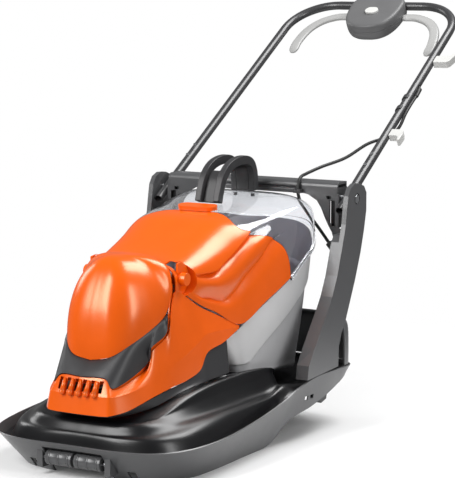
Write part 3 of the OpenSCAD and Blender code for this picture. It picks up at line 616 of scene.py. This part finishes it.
motorBase = {"low": [[0, -284, 111], [46, -283, 111], [66, -278, 112], [86, -264, 115], [107, -230, 124],
                     [116, -202, 132], [123, -177, 139], [130, -146, 145], [136, -108, 149], [139, -84, 151],
                     [143, -36, 153], [142, -2, 156]],
             "aimY": -100.0, "tuck": 3.0, "gap": 2.08, "sag": 2.0, "stopAt": -20.0, "parts": 6, "bevel": 0.6}


def buildMotorBase(s):
    low, edge = bandLine(s["low"], covers["around"]), bandLine(bonnetLow, covers["around"])
    high = edge + s["tuck"] * towards(edge, s["aimY"]) - s["gap"] * up
    grid = np.stack([low, mix(low, high, 0.5) - s["sag"] * up, high], 1)
    grid = grid[high[:, 1] < s["stopAt"]]
    return bevelEdges(shellMesh("motorBase", refine(grid, s["parts"]), covers["wall"]), s["bevel"])


place(buildMotorBase(motorBase), "base", "grey_plastic", "greyTrim", "motor_base")
intake = {"fins": 5, "pitch": 17.0, "foot": (-324, 154), "tilt": -23.0, "height": 26.0, "wide": 11.5,
          "narrow": 5.0, "sides": 32, "slotAt": (-345, 157), "slot": (8.5, 50, 21)}


def buildBonnet(s):
    low, mid, top = (bandLine(line, s["around"]) for line in (bonnetLow, bonnetBand, bonnetTop))
    below = [mix(low, mid, t) for t in s["below"]]
    above = [mix(mid, top, t) for t in s["above"]]
    grid = np.stack([low, *below, mid, *above, top], 1)
    shell = shellMesh("bonnet", refine(grid, s["parts"]), s["wall"])
    slots = []
    for k in range(intake["fins"] + 1):
        x = intake["pitch"] * (k - intake["fins"] / 2) - intake["slot"][0] / 2
        slots.append(boxObject("cut", (x, *intake["slotAt"]), intake["slot"]))
    return bevelEdges(carve(shell, slots), s["bevel"])


def finRow(name, s):
    # Geometry Nodes: one tapered fin, repeated on a line of points
    sizes = {"Pitch": s["pitch"] * mm, "Height": s["height"] * mm, "Wide": s["wide"] / 2 * mm,
             "Narrow": s["narrow"] / 2 * mm}
    tree, gin, gout = newGroup(name, "GeometryNodeTree", sizes, ["Geometry"], "NodeSocketGeometry")
    pitch, height, wide, narrow = (gin.outputs[label] for label in sizes)
    step = addNode(tree, "ShaderNodeCombineXYZ", {"X": pitch})
    line = addNode(tree, "GeometryNodeMeshLine", {"Count": s["fins"], "Offset": step.outputs[0]})
    cone = addNode(tree, "GeometryNodeMeshCone", {"Vertices": s["sides"], "Radius Top": narrow,
                                                  "Radius Bottom": wide, "Depth": height})
    ball = addNode(tree, "GeometryNodeMeshUVSphere", {"Radius": wide})
    join = addNode(tree, "GeometryNodeJoinGeometry", {0: cone.outputs["Mesh"]})
    feed(tree, join, {0: ball.outputs["Mesh"]})
    copies = addNode(tree, "GeometryNodeInstanceOnPoints", {"Points": line.outputs["Mesh"],
                                                            "Instance": join.outputs[0]})
    real = addNode(tree, "GeometryNodeRealizeInstances", {0: copies.outputs[0]})
    smooth = addNode(tree, "GeometryNodeSetShadeSmooth", {0: real.outputs[0]})
    coat = addNode(tree, "GeometryNodeSetMaterial", {"Geometry": smooth.outputs[0],
                                                     "Material": paint["orangeShell"]})
    feed(tree, gout, {"Geometry": coat.outputs[0]})
    return tree


def buildFins(s):
    fins = addObject("intakeFins", bpy.data.meshes.new("intakeFins"))
    fins.modifiers.new("pattern", "NODES").node_group = finRow("intakeFins", s)
    settle(fins)
    first = onFrame((-(s["fins"] - 1) / 2 * s["pitch"], *s["foot"]))
    fins.data.transform(Matrix.Translation(first) @ Matrix.Rotation(math.radians(s["tilt"]), 4, "X"))
    return fins


place(buildBonnet(covers), "base", "orange_plastic", "orangeShell", "bonnet")
place(buildFins(intake), "base", "orange_plastic", "orangeShell")

noseTop = np.array([0, -195, 389.0])
noseLine = [[0, -284, 208], [40, -280, 216], [68, -257, 236], [86, -218, 258], [96, -178, 284],
            [97, -160, 326], [86, -149, 356], [60, -143, 376], [30, -141, 384], [0, -140.5, 386]]
trim = {"low": [[0, -313, 183.5], [46, -308, 183.5], [66, -303.5, 166.5], [86, -232.5, 196.5],
                [93, -228, 227], [103, -190.5, 248.5], [103, -182, 275.5]],
        "high": [[0, -286, 206], [40, -282.5, 213.5], [68, -260, 233.5], [86, -222, 254.5], [92, -203, 265],
                 [96, -187, 274], [98, -179, 281]],
        "aimY": -170.0, "tuck": 9.0, "tuckRise": 1.0, "bow": (0, 1.5, 0), "around": 70, "parts": 6,
        "bevel": 0.6}


def buildTrim(s):
    low, high = bandLine(s["low"], s["around"]), bandLine(s["high"], s["around"])
    tucked = high + s["tuck"] * towards(high, s["aimY"]) + s["tuckRise"] * up
    grid = np.stack([low, mix(low, high, 0.5) - s["bow"], high, tucked], 1)
    return bevelEdges(shellMesh("noseTrim", refine(grid, s["parts"]), covers["wall"]), s["bevel"])


place(buildTrim(trim), "base", "grey_plastic", "greyTrim", "nose_trim")
liner = {"stopAt": -150.0, "inset": 5.0, "below": 12.0, "above": ((-300, -235), (2.0, 16.0)), "wall": 2.0,
         "parts": 2}


def buildLiner(s):
    # inner flange behind the seam between trim and bonnet, lower at the nose
    line = bandLine(bonnetTop, covers["around"])
    line = line[line[:, 1] < s["stopAt"]]
    flange = line + s["inset"] * towards(line, spinY)
    above = np.interp(line[:, 1], *s["above"])[:, None]
    grid = np.stack([flange - s["below"] * up, flange, flange + above * up], 1)
    return shellMesh("seamLiner", refine(grid, s["parts"]), s["wall"])


place(buildLiner(liner), "base", "orange_plastic", "orangeShell")
nose = {"power": 2.15, "around": 72, "turn": (90, 2), "rings": 30, "bevel": 0.7}


def buildNoseDome(s):
    edge = wholeLine(noseLine, s["around"])
    turn = np.radians(np.linspace(*s["turn"], s["rings"]))
    out, rise = bow(np.sin(turn), s["power"]), bow(np.cos(turn), s["power"])
    grid = np.stack([mix(noseTop[0], edge[:, :1], out), mix(noseTop[1], edge[:, 1:2], out),
                     mix(edge[:, 2:], noseTop[2], rise)], 2)
    return bevelEdges(shellMesh("noseDome", grid, covers["wall"], closed=True, capped=True), s["bevel"])


place(buildNoseDome(nose), "base", "orange_plastic", "orangeShell", "nose_dome")
print("motor covers built")

# Grass box: the skin that the fluted duct cover and the clear lid share, by tables along the machine
dome = {"low": [[-138, 324], [-93, 291], [-52, 272], [19, 239], [90, 272], [177, 309], [230, 340], [268, 363],
                [288, 386], [302, 405], [309, 410]],
        "wide": [[-138, 98], [-93, 117], [-52, 127], [19, 142], [90, 156], [177, 165], [230, 168], [264, 168],
                 [286, 160], [298, 145], [305, 120], [309, 92]],
        "high": [[-138, 371], [-93, 380], [-40, 398], [0, 414], [45, 432], [95, 440], [154, 448], [220, 458],
                 [266, 462], [287, 458], [299, 446], [306, 428], [309, 411.5]], "power": 4.0,
        "creaseLow": [[-136, 2], [-60, 2], [-13, 3.5], [43, 10.2], [91, 14.2], [140, 23.8], [309, 20]],
        "creaseHigh": [[-136, 24], [-110, 22], [-75, 21], [-42, 20.5], [-7, 28.5], [29, 33.5], [57, 37.5],
                       [83, 42], [309, 45]],
        # rows up the side: the two creases, the step over the upper one, and the middle line
        "creaseRows": (2, 6, 7, 12), "stepAngle": 2.5, "fine": 9,
        "flutes": [[0, 0], [1, -2.2], [1.7, -7.6], [2, -9.6], [2.2, -7.0], [3, -2.0], [4, 0.0], [5, -4],
                   [5.8, -9.6], [6.1, -10.4], [6.9, -0.3], [7, 0], [12, 0]],
        "ends": [[0, 176], [1, 159], [2, 140], [3, 126], [4, 112], [5, 97], [6, 83], [7, 76], [8, 60],
                 [9, 57], [10, 67], [11, 82], [12, 91]]}
domeSteps = np.arange(dome["creaseRows"][-1] * dome["fine"] + 1) / dome["fine"]


def rowAngle(k, y):
    lower, upper, step, top = dome["creaseRows"]
    a, b = tableAt(dome["creaseLow"], y), tableAt(dome["creaseHigh"], y)
    if k <= lower:
        return a * k / lower
    if k <= upper:
        return mix(a, b, (k - lower) / (upper - lower))
    if k <= step:
        return b + dome["stepAngle"] * (k - upper)
    return mix(b + dome["stepAngle"], 90.0, (k - step) / (top - step))


def domeRow(k, y, fade):
    # one row of the skin along the machine, let in by its flute
    t = np.radians(rowAngle(k, y))
    low, wide = tableAt(dome["low"], y), tableAt(dome["wide"], y)
    high = tableAt(dome["high"], y) - low
    c, s = bow(np.cos(t), dome["power"]), bow(np.sin(t), dome["power"])
    out = unit(np.stack([c ** (dome["power"] - 1) / wide, 0 * c, s ** (dome["power"] - 1) / high], 1))
    depth = tableAt(dome["flutes"], k) * fade
    return np.stack([wide * c, y, low + high * s], 1) + depth[:, None] * out


def domeSide(y, z):
    low, wide = tableAt(dome["low"], y), tableAt(dome["wide"], y)
    rise = np.clip((z - low) / (tableAt(dome["high"], y) - low), 0, 0.99)
    return wide * (1 - rise ** dome["power"]) ** (1 / dome["power"])


def bothSides(half):
    return np.concatenate([flipX(half), half[-2::-1]])


hinge = {"y": -127.0, "z": 342.0, "cheek": 31.5, "cutFrom": 67.0, "cutTo": 122.0}
collar = {"radius": 31.2, "arc": (-128, 104), "foot": 90.0, "least": 0.5, "under": 0.6, "wall": -1.2,
          "around": 120, "rows": (0, 0.5, 1)}
ductCover = {"near": [[0, -136], [7, -136], [8.5, -143], [12, -143]],
             "fade": [[-136, 0], [-110, 0], [-60, 1], [309, 1]], "along": 60, "bevel": 0.6}


def buildCollars(s):
    # the cover's own wall round each hinge opening, from its skin in to the fixed disc
    turn = np.radians(np.linspace(*s["arc"], s["around"]))
    y, z = hinge["y"] + s["radius"] * np.cos(turn), hinge["z"] + s["radius"] * np.sin(turn)
    skin = np.maximum(domeSide(y, z) - s["under"], s["foot"] + s["least"])
    half = np.stack([np.stack([mix(s["foot"], skin, t), y, z], 1) for t in s["rows"]], 1)
    return twinShells("collar", half, s["wall"])


def buildDuctCover(s):
    rows = []
    for k in domeSteps:
        y = mix(tableAt(s["near"], k)[0], tableAt(dome["ends"], k)[0], np.linspace(0, 1, s["along"]))
        rows.append(domeRow(k, y, tableAt(s["fade"], y)))
    shell = shellMesh("ductCover", bothSides(np.stack(rows)), covers["wall"])
    middle, long = (hinge["cutFrom"] + hinge["cutTo"]) / 2, hinge["cutTo"] - hinge["cutFrom"]
    cutters = [roundCutter("cut", x, hinge["y"], hinge["z"], hinge["cheek"], long) for x in (-middle, middle)]
    carve(shell, cutters, folded=True)
    return bevelEdges(joinMeshes("ductCover", [shell, *buildCollars(collar)]), s["bevel"])


place(buildDuctCover(ductCover), "lid", "orange_plastic", "orangeShell", "duct_cover")
cheek = {"radius": 30.6, "from": -146.0, "to": -136.5, "inmost": 70.0, "wide": 10, "tall": 40, "bevel": 0.5}


def buildCheeks(s):
    # the fixed strip on each side between the nose dome and the round end of the cover
    y = np.repeat(np.linspace(s["from"], s["to"], s["wide"])[:, None], s["tall"], 1)
    chord = np.sqrt(s["radius"] ** 2 - (y - hinge["y"]) ** 2)
    low, wide, high = (tableAt(dome[key], y[:, 0])[:, None] for key in ("low", "wide", "high"))
    top = low + (high - low) * (1 - (s["inmost"] / wide) ** dome["power"]) ** (1 / dome["power"])
    z = mix(hinge["z"] - chord, np.minimum(hinge["z"] + chord, top), np.linspace(0, 1, s["tall"]))
    half = np.stack([domeSide(y.ravel(), z.ravel()).reshape(y.shape), y, z], 2)
    return bevelEdges(joinMeshes("hingeCheeks", twinShells("hingeCheek", half, covers["wall"])), s["bevel"])


place(buildCheeks(cheek), "base", "orange_plastic", "orangeShell")
shroud = {"reach": ((0, 56, 66, 86), (42, 41, 32, 32)), "least": 1.5, "points": 4, "around": 36, "parts": 3,
          "wall": 1.6}


def buildShroud(s):
    # a lip inside the rear edge of the nose dome, clear of the cover's swing
    edge = bandLine(noseLine[:-s["points"] - 1:-1], s["around"])
    away = (edge - [0, hinge["y"], hinge["z"]]) * [0, 1, 1]
    far = np.linalg.norm(away, axis=1, keepdims=True)
    low = edge - away / far * np.maximum(far - np.interp(np.abs(edge[:, :1]), *s["reach"]), s["least"])
    grid = np.stack([low, mix(low, edge, 0.5), edge], 1)
    return shellMesh("hingeShroud", refine(grid, s["parts"]), s["wall"])


place(buildShroud(shroud), "base", "orange_plastic", "orangeShell")
lid = {"far": 309.0, "wall": 2.4, "along": 70, "crowd": 0.8, "fade": 4.0, "bevel": 0.4,
       "rim": (2.4, 4.2), "rimPower": 3.0, "rimSides": 20, "rimDrop": 3.0, "rearSteps": 12}


def buildClearLid(s):
    t = np.linspace(0, 1, s["along"]) ** s["crowd"]
    rows = []
    for k in domeSteps:
        y = mix(tableAt(dome["ends"], k)[0] + covers["seam"], s["far"], t)
        rows.append(domeRow(k, y, np.maximum(1 - s["fade"] * t, 0)))
    half = np.stack(rows)
    side = half[0]
    rear = np.linspace(side[-1], flipX(side)[-1], s["rearSteps"])[1:-1]
    path = np.concatenate([side, rear, flipX(side)[::-1]]) - s["rimDrop"] * up
    rim = sweepMesh("lidRim", path, bowRing(s["rim"], s["rimPower"], s["rimSides"]), up)
    shell = shellMesh("clearLid", bothSides(half), s["wall"])
    return bevelEdges(joinMeshes("clearLid", [shell, rim]), s["bevel"])


place(buildClearLid(lid), "lid", "clear_plastic", "clearLid", "clear_lid")

tub = {"rim": [[0, -18, 214], [90, -18, 214], [122, -14, 215], [131, 10, 220], [139, 32, 235], [153, 90, 267],
               [162, 177, 304], [165, 230, 335], [164, 258, 353], [156, 283, 375], [140, 295, 391],
               [108, 302, 403], [50, 305, 407], [0, 305, 407]],
       "floor": [[0, 30, 141], [80, 30, 141], [120, 32, 141], [134, 44, 140], [140, 62, 138], [143, 100, 134],
                 [144, 140, 130], [144, 180, 127], [143, 210, 124], [140, 236, 121], [128, 254, 120],
                 [100, 262, 119], [50, 264, 119], [0, 264, 119]],
       "axisY": 140.0, "middle": (0, 150, 0), "belly": 18.0, "band": 78.0, "bandMost": 0.8, "lip": 1.5,
       "step": 5.0, "stepEnd": 0.02, "floorDrop": 4.0, "inlet": ((-70, -40, 158), (140, 90, 44)),
       "around": 90, "parts": 3, "bevel": 0.5, "flat": 0.8,
       # rows down the band, down the body and across the floor, as shares of each
       "bandRows": (0, 0.3, 0.6, 0.9, 0.97), "bodyRows": (0.08, 0.3, 0.55, 0.8, 0.92),
       "floorRows": (0.07, 0.3, 0.6)}


def buildTub(s):
    rim, foot = wholeLine(s["rim"], s["around"])[::-1], wholeLine(s["floor"], s["around"])[::-1]
    out = -towards(rim, s["axisY"])
    shoulder = np.clip(s["band"] / (rim[:, 2] - foot[:, 2]), 0, s["bandMost"])[:, None]

    def wallAt(t, inset):
        return mix(rim, foot, t) + out * (s["belly"] * t * (1 - t) - inset)

    stepLine = wallAt(shoulder, s["lip"])
    columns = [wallAt(shoulder * u, 0) for u in s["bandRows"]]
    columns += [stepLine, wallAt(mix(shoulder, 1, s["stepEnd"]), s["step"])]
    columns += [wallAt(mix(shoulder, 1, u), s["step"] * (1 - u)) for u in s["bodyRows"]]
    centre = foot * [0, 0, 1] + s["middle"]
    columns += [foot, *(mix(foot, centre, u) - s["floorDrop"] * up for u in s["floorRows"])]
    grid = refine(np.stack(columns, 1), s["parts"])
    shell = shellMesh("grassTub", grid, lid["wall"], closed=True, capped=True)
    carve(shell, [boxObject("cut", *s["inlet"])])
    return bevelEdges(shell, s["bevel"]), stepLine


def zoneTub(obj, stepLine, s):
    # one moulding in three colours: the band above the shoulder, the body below it painted darker as shade,
    # and the inner face painted dark as shade
    turn = np.arctan2(stepLine[:, 1] - s["axisY"], stepLine[:, 0])
    order = np.argsort(turn)
    for face in obj.data.polygons:
        x, y, z = (np.array(face.center) - frameShift) / mm - [0, s["axisY"], 0]
        sideways = face.normal.x * x + face.normal.y * y
        inner = face.normal.z > 0 if abs(face.normal.z) > s["flat"] else sideways < 0
        edge = np.interp(math.atan2(y, x), turn[order], stepLine[order, 2], period=2 * math.pi)
        # index 1 is the body's painted shade, index 2 the inner face's painted shade
        face.material_index = 2 if inner else 1 if z < edge else 0


grassTub, tubStep = buildTub(tub)
place(grassTub, "tub", "smoke_plastic", "smokyTub", "grass_tub")
# the two painted-shade copies of the tub's plastic: body below the shoulder and inner face
for name in ("tubBodyShade", "tubInsideShade"):
    grassTub.data.materials.append(paint[name])
zoneTub(grassTub, tubStep, tub)

rearWall = {"low": [[0, 371, 119], [110, 370, 119], [168, 360, 119], [204, 338, 119], [220, 312, 119],
                    [223, 290, 119]],
            "profile": ((0, 0), (0, 35), (1.5, 72), (7, 86), (20, 92)),   # in and up
            "aimY": 230.0, "wall": 4.0, "around": 50, "parts": 6, "bevel": 0.8}


def buildRearWall(s):
    line = bandLine(s["low"], s["around"])
    d = towards(line, s["aimY"])
    grid = np.stack([line + a * d + b * up for a, b in s["profile"]], 1)
    return bevelEdges(shellMesh("rearWall", refine(grid, s["parts"]), s["wall"]), s["bevel"])


place(buildRearWall(rearWall), "base", "grey_plastic", "deckGrey", "rear_wall")
print("grass box built")

# Crossbeam: the CAD shape with its bracket windows opened, a groove, and black plates behind the windows as
# painted shade
beam = {"window": ((179.5, 305, 401), (12, 16, 46)), "bevel": (0.8, 3, 35),
        "groove": (-4, 310.2, 467.0, 5.2, 216),   # middle, radius and length
        # black plates behind the windows: painted shade, where the bracket's inside is in shadow
        "shadePlates": (((179.5, 319, 393), (12.5, 3, 54)), ((168, 319, 445), (24, 3, 14)))}


def buildBeam(s):
    cad = nodes["crossbeam"].data
    body = meshObject("crossbeam", [v.co for v in cad.vertices], [tuple(p.vertices) for p in cad.polygons])
    windows = [boxObject("cut", *c) for c in mirrored(*s["window"])]
    carve(body, [*windows, roundCutter("cut", *s["groove"])])
    return bevelEdges(body, *s["bevel"])


# black plates that paint the shade behind the bracket windows
def buildBeamShadePlates(s):
    return joinMeshes("beamShadePlates", [boxObject("beamShadePlate", *c) for b in s["shadePlates"] for c in mirrored(*b)])


place(buildBeam(beam), "base", "grey_plastic", "deckGrey", "crossbeam")
place(buildBeamShadePlates(beam), "base", "black_gloss", "hoodBlack")

# Carry handle: two rails with a web between them, open at the front of the grip
carry = {"path": [[0, 140, 450.6], [0, 147, 472], [0, 160, 498], [0, 182, 516], [0, 212, 525], [0, 246, 526],
                  [0, 270, 518], [0, 282, 500], [0, 285, 480], [0, 285, 461]], "steps": 104,
         "rail": [[-9, 14], [9, 14], [9, 27], [-9, 27]],
         "web": [[-9, -14.5], [-3, -14.5], [-3, 14.5], [-9, 14.5]], "webSpans": ((0, 32), (56, 104)),
         "bevel": (3.6, 5)}


def buildCarry(s):
    path = along(s["path"], s["steps"])
    across = (1, 0, 0)
    rail = np.array(s["rail"], float)
    parts = [sweepMesh("carryRail", path, section, across) for section in (rail, (rail * [1, -1])[::-1])]
    parts += [sweepMesh("carryWeb", path[a:b + 1], s["web"], across) for a, b in s["webSpans"]]
    return bevelEdges(joinMeshes("carryHandle", parts), *s["bevel"])


place(buildCarry(carry), "lid", "dark_plastic", "darkPlastic", "carry_handle")

# Handle: bail lever, switch box and the motor lead
handle = {"pivotY": 331.0, "pivotZ": 451.0, "angle": 31.9, "footX": 211.0, "splay": -6.5, "straight": 598.0,
          "bend": 100.0, "bowDrop": 1.1, "tube": 19.0}
topS = handle["straight"] + handle["bend"] - handle["bowDrop"]


def atHandle(points):
    # from the handle's own plane: x across, y up the tubes, z out of it
    p = np.asarray(points, float)
    c, s = math.cos(math.radians(handle["angle"])), math.sin(math.radians(handle["angle"]))
    return np.stack([p[..., 0], handle["pivotY"] + p[..., 1] * c - p[..., 2] * s,
                     handle["pivotZ"] + p[..., 1] * s + p[..., 2] * c], -1)


def tubeX(s):
    return handle["footX"] + handle["splay"] * s / handle["straight"]


bail = {"seat": (0, topS - 30, -11.0),
        # the right arm from the seat, and how its end thins to a round tip
        "arm": [[66, 0, 0], [100, -2, 0], [134, -18, -2], [157, -48, -5], [167, -90, -9], [166, -128, -14]],
        "tip": [0.99, 0.97, 0.93, 0.87, 0.78, 0.64, 0.4], "half": (11.0, 4.5), "power": 3.0, "steps": 72,
        "sides": 40, "hub": 6.5, "hubLength": 136.0, "hubSteps": 8, "bevel": 0.8}


def buildBail(s):
    seat = np.array(s["seat"])
    path = along(seat + s["arm"], s["steps"])
    taper = np.ones(len(path))
    taper[-len(s["tip"]):] = s["tip"]
    sections = bowRing(s["half"], s["power"], s["sides"])[None] * taper[:, None, None]
    right = sweepRows(path, sections, up)
    parts = [loftMesh("bailArm", rows) for rows in (atHandle(right), atHandle(flipX(right))[:, ::-1])]
    reach = np.array([s["hubLength"] / 2, 0, 0])
    hub = sweepRows(along([seat - reach, seat + reach], s["hubSteps"]), ring(s["hub"], s["sides"]), up)
    parts.append(loftMesh("bailHub", atHandle(hub)))
    return bevelEdges(joinMeshes("bailLever", parts), s["bevel"])


place(buildBail(bail), "bail", "pale_plastic", "bailGrey", "bail_lever")

switchBox = {"halfWide": 65.0, "behind": 42.0, "ahead": 92.0, "middle": topS - 18, "around": 120,
             "powers": (2.8, 2.4),
             # height above the handle's plane and how far the wall has drawn in there
             "lower": [[-26, 30], [-26, 17], [-25.2, 12], [-23, 7], [-19, 3.4], [-13, 1.2], [-6, 0.2],
                       [-0.25, 0]],
             "upper": [[0.25, 0], [8, 0.3], [13, 0.9], [16, 2.4], [17.6, 5.2], [18, 9], [18, 30]]}


def buildSwitchHalf(name, profile, s):
    a = np.linspace(0, 2 * math.pi, s["around"], endpoint=False)
    across, upward = bow(np.cos(a), s["powers"][0]), bow(np.sin(a), s["powers"][1])
    rows = []
    for n, inset in profile:
        reach = np.where(np.sin(a) > 0, s["behind"], s["ahead"]) - inset
        rows.append(np.stack([(s["halfWide"] - inset) * across, s["middle"] + reach * upward,
                              np.full(len(a), float(n))], 1))
    return loftMesh(name, atHandle(np.stack(rows)))


switchLower = buildSwitchHalf("switchLower", switchBox["lower"], switchBox)
place(switchLower, "handle", "switch_plastic", "switchGrey", "switch_lower")
switchUpper = buildSwitchHalf("switchUpper", switchBox["upper"], switchBox)
place(switchUpper, "handle", "switch_plastic", "switchGrey", "switch_upper")

coil = {"s": topS - 49, "low": -11.8, "high": 8.8, "radius": 7.4, "wire": 0.6, "turns": 7, "steps": 240,
        "sides": 10}


def buildCoil(s):
    turn = np.linspace(0, 2 * math.pi * s["turns"], s["steps"] + 1)
    climb = np.linspace(s["low"] + s["wire"], s["high"] - s["wire"], s["steps"] + 1)
    path = np.stack([s["radius"] * np.cos(turn), s["s"] + s["radius"] * np.sin(turn), climb], 1)
    return loftMesh("buttonCoil", atHandle(sweepRows(path, ring(s["wire"], s["sides"]), up)))


buttonCoil = buildCoil(coil)
buttonCoil.data.materials.append(paint["brightSteel"])
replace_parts(buttonCoil, "button_spring")
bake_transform(buttonCoil)

lead = {"diameter": 6.6, "gap": 0.5, "entry": 394.0, "sides": 20}
leadBeside = handle["tube"] / 2 + lead["diameter"] / 2 + lead["gap"]


def leadPoints(offsets):
    # from the hole where the lead enters the right tube
    p = np.asarray(offsets, float) + [0, lead["entry"], 0]
    p[:, 0] += tubeX(p[:, 1])
    return atHandle(p)


leadUpperRoute = leadPoints([[0, 16, 0], [0.5, 7, 0], [3.8, -2, 0], [9.6, -10, 0], [14.2, -20, 0],
                             [15, -32, 0], [leadBeside + 0.4, -52, 0], [leadBeside, -76, 0],
                             [leadBeside, -104, -1], [leadBeside - 2, -132, -9], [5, -152, -leadBeside - 1]])
leadSpanRoute = [*atHandle([[tubeX(222) - 9.6, 221.4, -leadBeside - 0.6]]),
                 [174, 494, 545], [146, 450, 519], [118, 400, 504], [108.5, 362, 495.5], [107.5, 345, 492.6],
                 [108.5, 332.5, 491.5], [109.8, 318.5, 487.7], [111, 308.2, 477.5], [111.6, 304.8, 466]]
leadLowerRoute = [[111.8, 304.7, 465], [112.8, 305, 455], [118, 306.6, 440], [135, 307.6, 417],
                  [160, 306.6, 389], [182, 304, 364]]
leadRuns = {"leadUpper": {"route": leadUpperRoute, "ref": (0.2, 0, 1), "lay": "taut", "steps": 110},
            "leadSpan": {"route": leadSpanRoute, "ref": (1, -0.4, 0), "lay": "hanging", "steps": 120},
            "leadLower": {"route": leadLowerRoute, "ref": (0, 1, 0), "lay": "hanging", "steps": 60}}


def buildLead(name, s):
    path = along(s["route"], s["steps"])
    tube = sweepMesh(name, path, ring(lead["diameter"] / 2, lead["sides"]), s["ref"])
    tube.data.materials.append(paint["leadRubber"])
    return tube


sleeve = {"from": (12.6, -15.0, 0), "to": (15.4, -42.0, 0), "radius": (5.0, 3.8), "steps": 14, "sides": 32,
          "bevel": 0.5}


def buildSleeve(s):
    path = along(leadPoints([s["from"], s["to"]]), s["steps"])
    wide = np.linspace(*s["radius"], s["steps"] + 1)
    sections = ring(1, s["sides"])[None] * wide[:, None, None]
    return bevelEdges(sweepMesh("leadSleeve", path, sections, leadRuns["leadUpper"]["ref"]), s["bevel"])


place(buildSleeve(sleeve), "handle", "lead_rubber", "leadRubber")
leadUpper, leadSpan, leadLower = (buildLead(name, s) for name, s in leadRuns.items())
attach(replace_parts(leadUpper, "lead_upper"), "handle")
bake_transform(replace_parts(leadSpan, "lead_span"))
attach(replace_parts(leadLower, "lead_lower"), "base")
print("handle and lead built")

# The CAD nodes that stay: finish by material slot, edges softened
slotPaint = {"orange_plastic": "orangeShell", "grey_plastic": "deckGrey", "switch_plastic": "switchGrey",
             "black_gloss": "hoodBlack", "dark_plastic": "darkPlastic", "tube_paint": "tubePaint",
             "steel": "brightSteel", "copper": "windingCopper", "pale_plastic": "paleLever",
             "clear_plastic": "clearLid", "smoke_plastic": "smokyTub", "lead_rubber": "leadRubber"}
nodePaint = {"roller_left": "deckGrey", "roller_right": "deckGrey"}
edgeRounds = {"arm_left": 3.5, "arm_right": 3.5, "lid_cap": 3.2, "hook_upper": 1.5, "hook_lower": 1.5,
              "lock_button": 1.2, "lid_ears": 0.8, "hinge_pins": 0.8, "rear_feet": 1.5, "roller_left": 0.8,
              "roller_right": 0.8, "pivot_bolts": 0.6, "tube_screws": 0.5, "beam_clip": 0.5,
              "mains_inlet": 0.8, "lead_clips": 0.5, "lead_gland": 0.8}
edgeStyle = {"weldGap": 1e-5, "segments": 3, "angle": 35}


def dressNodes(s):
    for part in frame["record"]["subparts"]:
        name = part["node"]
        mesh = nodes[name].data
        mesh.materials.clear()
        mesh.materials.append(paint[nodePaint.get(name, slotPaint[part["material_slot"]])])
    for name, width in edgeRounds.items():
        nodes[name].modifiers.new("join", "WELD").merge_threshold = s["weldGap"]
        bevelEdges(nodes[name], width, s["segments"], s["angle"])


dressNodes(edgeStyle)
print("frame nodes dressed")
